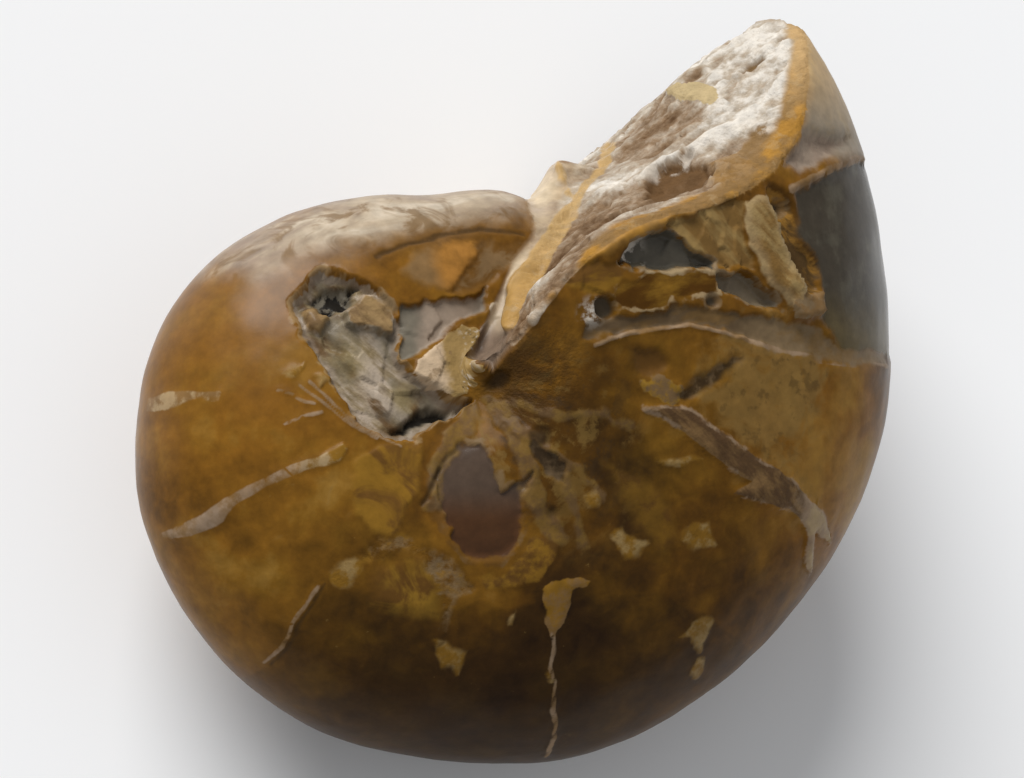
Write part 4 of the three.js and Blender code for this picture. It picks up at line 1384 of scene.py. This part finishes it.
# %% Splinters, strips, seams and cracks
def paint_lines(paint, mid, small, drawn):
    between, share, edge_of, stored = paint.between, paint.share, paint.edge_of, paint.stored
    mix, over = paint.mix, paint.over
    over(share("flakes", -0.3, 0.3, 0.7) * 0.8, mix(between(small, 0.36, 0.60), FLAKE_TAN, GOLD), 0.42)
    strip = mix(between(drawn, 0.46, 0.64), STRIP_BROWN, SEAM_TAN)
    strip = mix(
        between(paint.x + (small - 0.5) * 4, 37, 39.5),
        strip,
        mix(between(mid, 0.4, 0.6), SEAM_PINK, CREAM),
    )
    over(share("main strip", -0.1, 0.1, 0.4), strip, 0.4)
    over(edge_of("main strip", -0.1, 0.2) * 0.8, SEAM_PINK, 0.4)
    left = mix(between(small, 0.38, 0.6), SEAM_TAN, SEAM_PINK)
    left = mix(between(paint.x, -21, -17), left, mix(between(small, 0.4, 0.6), GOLD, CREAM))
    left = mix(stored("grey end"), left, LILAC_GREY)
    over(share("left strip", -0.08, 0.15, 0.3) * 0.85, left, 0.4)
    over(share("nick", -0.05, 0.2, 0.3) * 0.75, mix(between(small, 0.45, 0.6), SEAM_TAN, CREAM), 0.4)
    over(share("cracks", -0.2, 0.2, 0.4) * 0.7, SHADOW_BROWN, 0.5)
    over(share("seams", -0.12, 0.1, 0.35) * 0.9, mix(between(mid, 0.36, 0.6), SEAM_TAN, SEAM_PINK), 0.4)


# %% [markdown]
# ## The break
#
# The break is sugary: small crystals stand up white and the hollows between them are brown. So its colour
# follows the height of its own relief, through one ramp, which also paints shade into the hollows and
# highlights onto the crests, with a few large patches laid over it. The ledge beside it is smoother and
# creamier, with a ribbon of gold mineral along it.

# %% The break and the ledge
def paint_break(paint, mid, small, layers):
    noise, between, share, mix, over = paint.noise, paint.between, paint.share, paint.mix, paint.over
    crumbs = noise(1.1, 4, seed=33)
    # The ramp by height is partly the mineral's own colour and partly painted light: shade in the hollows,
    # highlight on the crests.
    height = 0.58 + paint.stored("rise") * 0.42 + (layers - 0.5) * 1.5 + (crumbs - 0.5) * 0.9
    height = height + share("sugar", -1.5, 1.5) * 0.22 - share("hollow", -0.8, 0.8) * 0.3
    away = (paint.x * paint.x + paint.y * paint.y).math("SQRT")
    height = height - between(away, 32, 18) * 0.26
    broken = paint.ramp(BREAK_RAMP, height)
    # The hollow is painted darker brown, partly as shade.
    broken = mix(share("hollow", -0.5, 0.5) * 0.6, broken, BREAK_DARK)
    broken = mix(share("orange patch", -0.8, 0.8) * 0.85, broken, BREAK_ORANGE)
    broken = mix(share("amber facet", -0.4, 0.4) * 0.9, broken, FACET_AMBER)
    broken = mix(share("yellow plate"), broken, BREAK_YELLOW)
    # The crest's white is partly sugary crystal and partly a painted highlight.
    broken = mix(share("crest", -0.6, 0.5) * between(small, 0.44, 0.56) * 0.7, broken, SUGAR)
    broken = mix(share("tip hole", -0.2, 0.3), broken, SHELF_BROWN)
    lip = mix(between(paint.y, 30, 40), mix(between(mid, 0.42, 0.6), RIM_AMBER, FACET_AMBER), LIP_TAN)
    broken = mix(share("lip", -0.9, 0.9), broken, mix(between(small, 0.56, 0.66) * 0.3, lip, CREAM))
    over(between(paint.stored("rough break") + paint.teeth * 0.4, 0.35, 0.6), broken, 0.7, 0.0)
    shelf = mix(between(mid, 0.42, 0.64), LEDGE_CREAM, LEDGE_LILAC)
    over(paint.stored("ledge"), mix(between(away, 11, 6), shelf, FOOT_LILAC), 0.36, 0.2)
    ribbon = mix(between(paint.z, 8, 15), RIBBON_GOLD, RIBBON_AMBER)
    over(share("ribbon", -0.2, 0.2, 0.35), mix(between(small, 0.52, 0.64) * 0.4, ribbon, CREAM), 0.33, 0.2)


# %% [markdown]
# ## The whole shader
#
# Each noise is made once and lent to every coat that needs it, which keeps the shader small enough for the
# renderer's memory. It is near the limit, and even the order in which its nodes are made counts: past the
# limit the stone turns black. A faint bump adds the grain that is finer than the faces of the mesh.

# %% The stone shader
def stone_material():
    material = bpy.data.materials.new("polished_fossil_stone")
    material.use_nodes = True
    tree = material.node_tree
    tree.nodes.clear()
    bench = Bench(tree)
    paint = Paint(bench)
    noise = paint.noise
    fine, small = noise(0.6, 2), noise(1.8, 4)
    mid, big = noise(4.5, 4), noise(13, 2, seed=5)
    paint.teeth = (small - 0.5) * 0.9 + (fine - 0.5) * 0.3
    paint.chipped = paint.between(noise(2.6, 3, seed=51), 0.44, 0.58)
    paint_amber(paint, big, small, fine)
    paint_outer_layers(paint, big, mid, small)
    drawn = noise(2.3, 4, towards=-40, factor=0.3)
    layers = noise(2.8, 5, towards=12, factor=0.38, seed=31)
    paint_pocket(paint, mid, small, fine, drawn)
    paint_mouth(paint, mid, small, layers, drawn)
    paint_lines(paint, mid, small, drawn)
    paint_break(paint, mid, small, layers)
    paint.lit(0.62 + noise(1.6, 4, seed=91) * 0.76)
    paint.polish = paint.polish + paint.stored("haze")

    rough_share = paint.stored("torn") * 0.1 + paint.stored("pole shade") * 0.4 + 0.02
    grain = (noise(0.45, 3, seed=41) - 0.5) * rough_share
    crystals = (noise(0.9, 5, seed=43) - 0.5) * paint.stored("rough break") * 0.7
    bump = bench.add(
        "ShaderNodeBump", inputs={"Strength": 0.7, "Distance": MM, "Height": grain + crystals},
    )
    surface = bench.add(
        "ShaderNodeBsdfPrincipled",
        inputs={
            "Base Color": paint.colour, "Roughness": paint.roughness, "Coat Weight": paint.polish,
            "Coat Roughness": 0.3, "IOR": 1.45, "Specular IOR Level": 0.08, "Normal": bump,
        },
    )
    end = tree.nodes.new("ShaderNodeOutputMaterial")
    tree.links.new(surface.socket, end.inputs["Surface"])
    print(material.name, "has", len(tree.nodes), "nodes")
    return material


# %% [markdown]
# ## At rest
#
# The stone lies on its far flank, worn flat where it touches, so the pole leans 9.3 degrees. One matrix
# takes the coil's frame to the row's: it turns the mesh, centres it on the solid's box and sets it down.
# The points that would go through the table are pressed flat, as years of lying on shelves and grinding
# would do.

# %% Turn the stone, set it down and name it
REST_FLAT_DEPTH = 0.6
lean = Matrix.Rotation(math.radians(REST_TILT), 4, "X")
turned = sculpted @ np.array(lean.to_3x3()).T
middle = (turned.min(axis=0) + turned.max(axis=0)) / 2
solid_middle = (stone_low + stone_high) / 2 / MM
lift = -turned[:, 2].min() - REST_FLAT_DEPTH
drop = Vector((solid_middle[0] - middle[0], solid_middle[1] - middle[1], lift))
settle = Matrix.Diagonal((MM, MM, MM, 1)) @ Matrix.Translation(drop) @ lean
stone_mesh.transform(settle)
settled = coordinates(rough_stone)
settled[:, 2] = np.maximum(settled[:, 2], 0)
stone_mesh.vertices.foreach_set("co", settled.ravel())
stone_mesh.shade_smooth()
stone_mesh.materials.clear()
stone_mesh.materials.append(stone_material())
stone = rough_stone
stone.name = "nautiloid_stone"
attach(stone, "root")
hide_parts("fossil")
print("stone, mm:", [round(float(side), 1) for side in np.ptp(settled, axis=0) / MM], "drop", drop)

# %% [markdown]
# ## Light and camera
#
# Polished stone shows its layers best under one broad soft light from beyond it, which leaves the side
# towards the viewer deep and glowing, with a pale room around it. The camera looks down on the near flank,
# almost along the pole.

# %% Floor, lights and camera
VIEW_LEAN = 20.0
VIEW_TOWARDS = 18.0
VIEW_OFFSET = (9.66, 1.57, 420.0)
LENS = 131.4

FLOOR_HALF = 1.5
FLOOR_GAP = 0.1 * MM
PAPER = (0.92, 0.92, 0.92, 1)
KEY_FACING = (-0.22, 0.85, 0.42)
KEY_STRENGTH = 3.4
KEY_SPREAD = 42
ROOM_COLOUR = (0.95, 0.97, 1.0, 1)
ROOM_STRENGTH = 0.40

corners = [(x * FLOOR_HALF, y * FLOOR_HALF, 0) for x, y in ((-1, -1), (1, -1), (1, 1), (-1, 1))]
floor_mesh = bpy.data.meshes.new("studio_floor")
floor_mesh.from_pydata(corners, [], [(0, 1, 2, 3)])
floor = bpy.data.objects.new("studio_floor", floor_mesh)
bpy.context.scene.collection.objects.link(floor)
floor.location.z = -FLOOR_GAP
pale = bpy.data.materials.new("pale_paper")
pale.use_nodes = True
paper = pale.node_tree.nodes["Principled BSDF"]
paper.inputs["Base Color"].default_value = PAPER
paper.inputs["Roughness"].default_value = 0.9
paper.inputs["Specular IOR Level"].default_value = 0.1
floor_mesh.materials.append(pale)

across = Vector((-math.sin(math.radians(VIEW_TOWARDS)), math.cos(math.radians(VIEW_TOWARDS)), 0))
to_camera = Matrix.Rotation(math.radians(VIEW_LEAN), 4, across)
from_camera = lean @ to_camera.inverted()
eye = settle @ (to_camera.inverted() @ Vector(VIEW_OFFSET))


def aimed(thing, facing):
    """Turns a light so that it comes from a direction given as right, up and towards the eye."""
    back = (from_camera @ Vector(facing)).normalized()
    thing.rotation_euler = back.to_track_quat("Z", "Y").to_euler()


camera_data = bpy.data.cameras.new("camera")
camera_data.lens = LENS
camera_data.sensor_width = 36
camera = bpy.data.objects.new("camera", camera_data)
bpy.context.scene.collection.objects.link(camera)
camera.matrix_world = Matrix.Translation(eye) @ from_camera
bpy.context.scene.camera = camera

sun = bpy.data.lights.new("soft key", "SUN")
sun.energy = KEY_STRENGTH
sun.angle = math.radians(KEY_SPREAD)
key = bpy.data.objects.new("soft key", sun)
bpy.context.scene.collection.objects.link(key)
aimed(key, KEY_FACING)

world = bpy.data.worlds.new("pale_room")
world.use_nodes = True
room = world.node_tree.nodes["Background"]
room.inputs["Color"].default_value = ROOM_COLOUR
room.inputs["Strength"].default_value = ROOM_STRENGTH
bpy.context.scene.world = world
bpy.context.scene.view_settings.view_transform = "Standard"
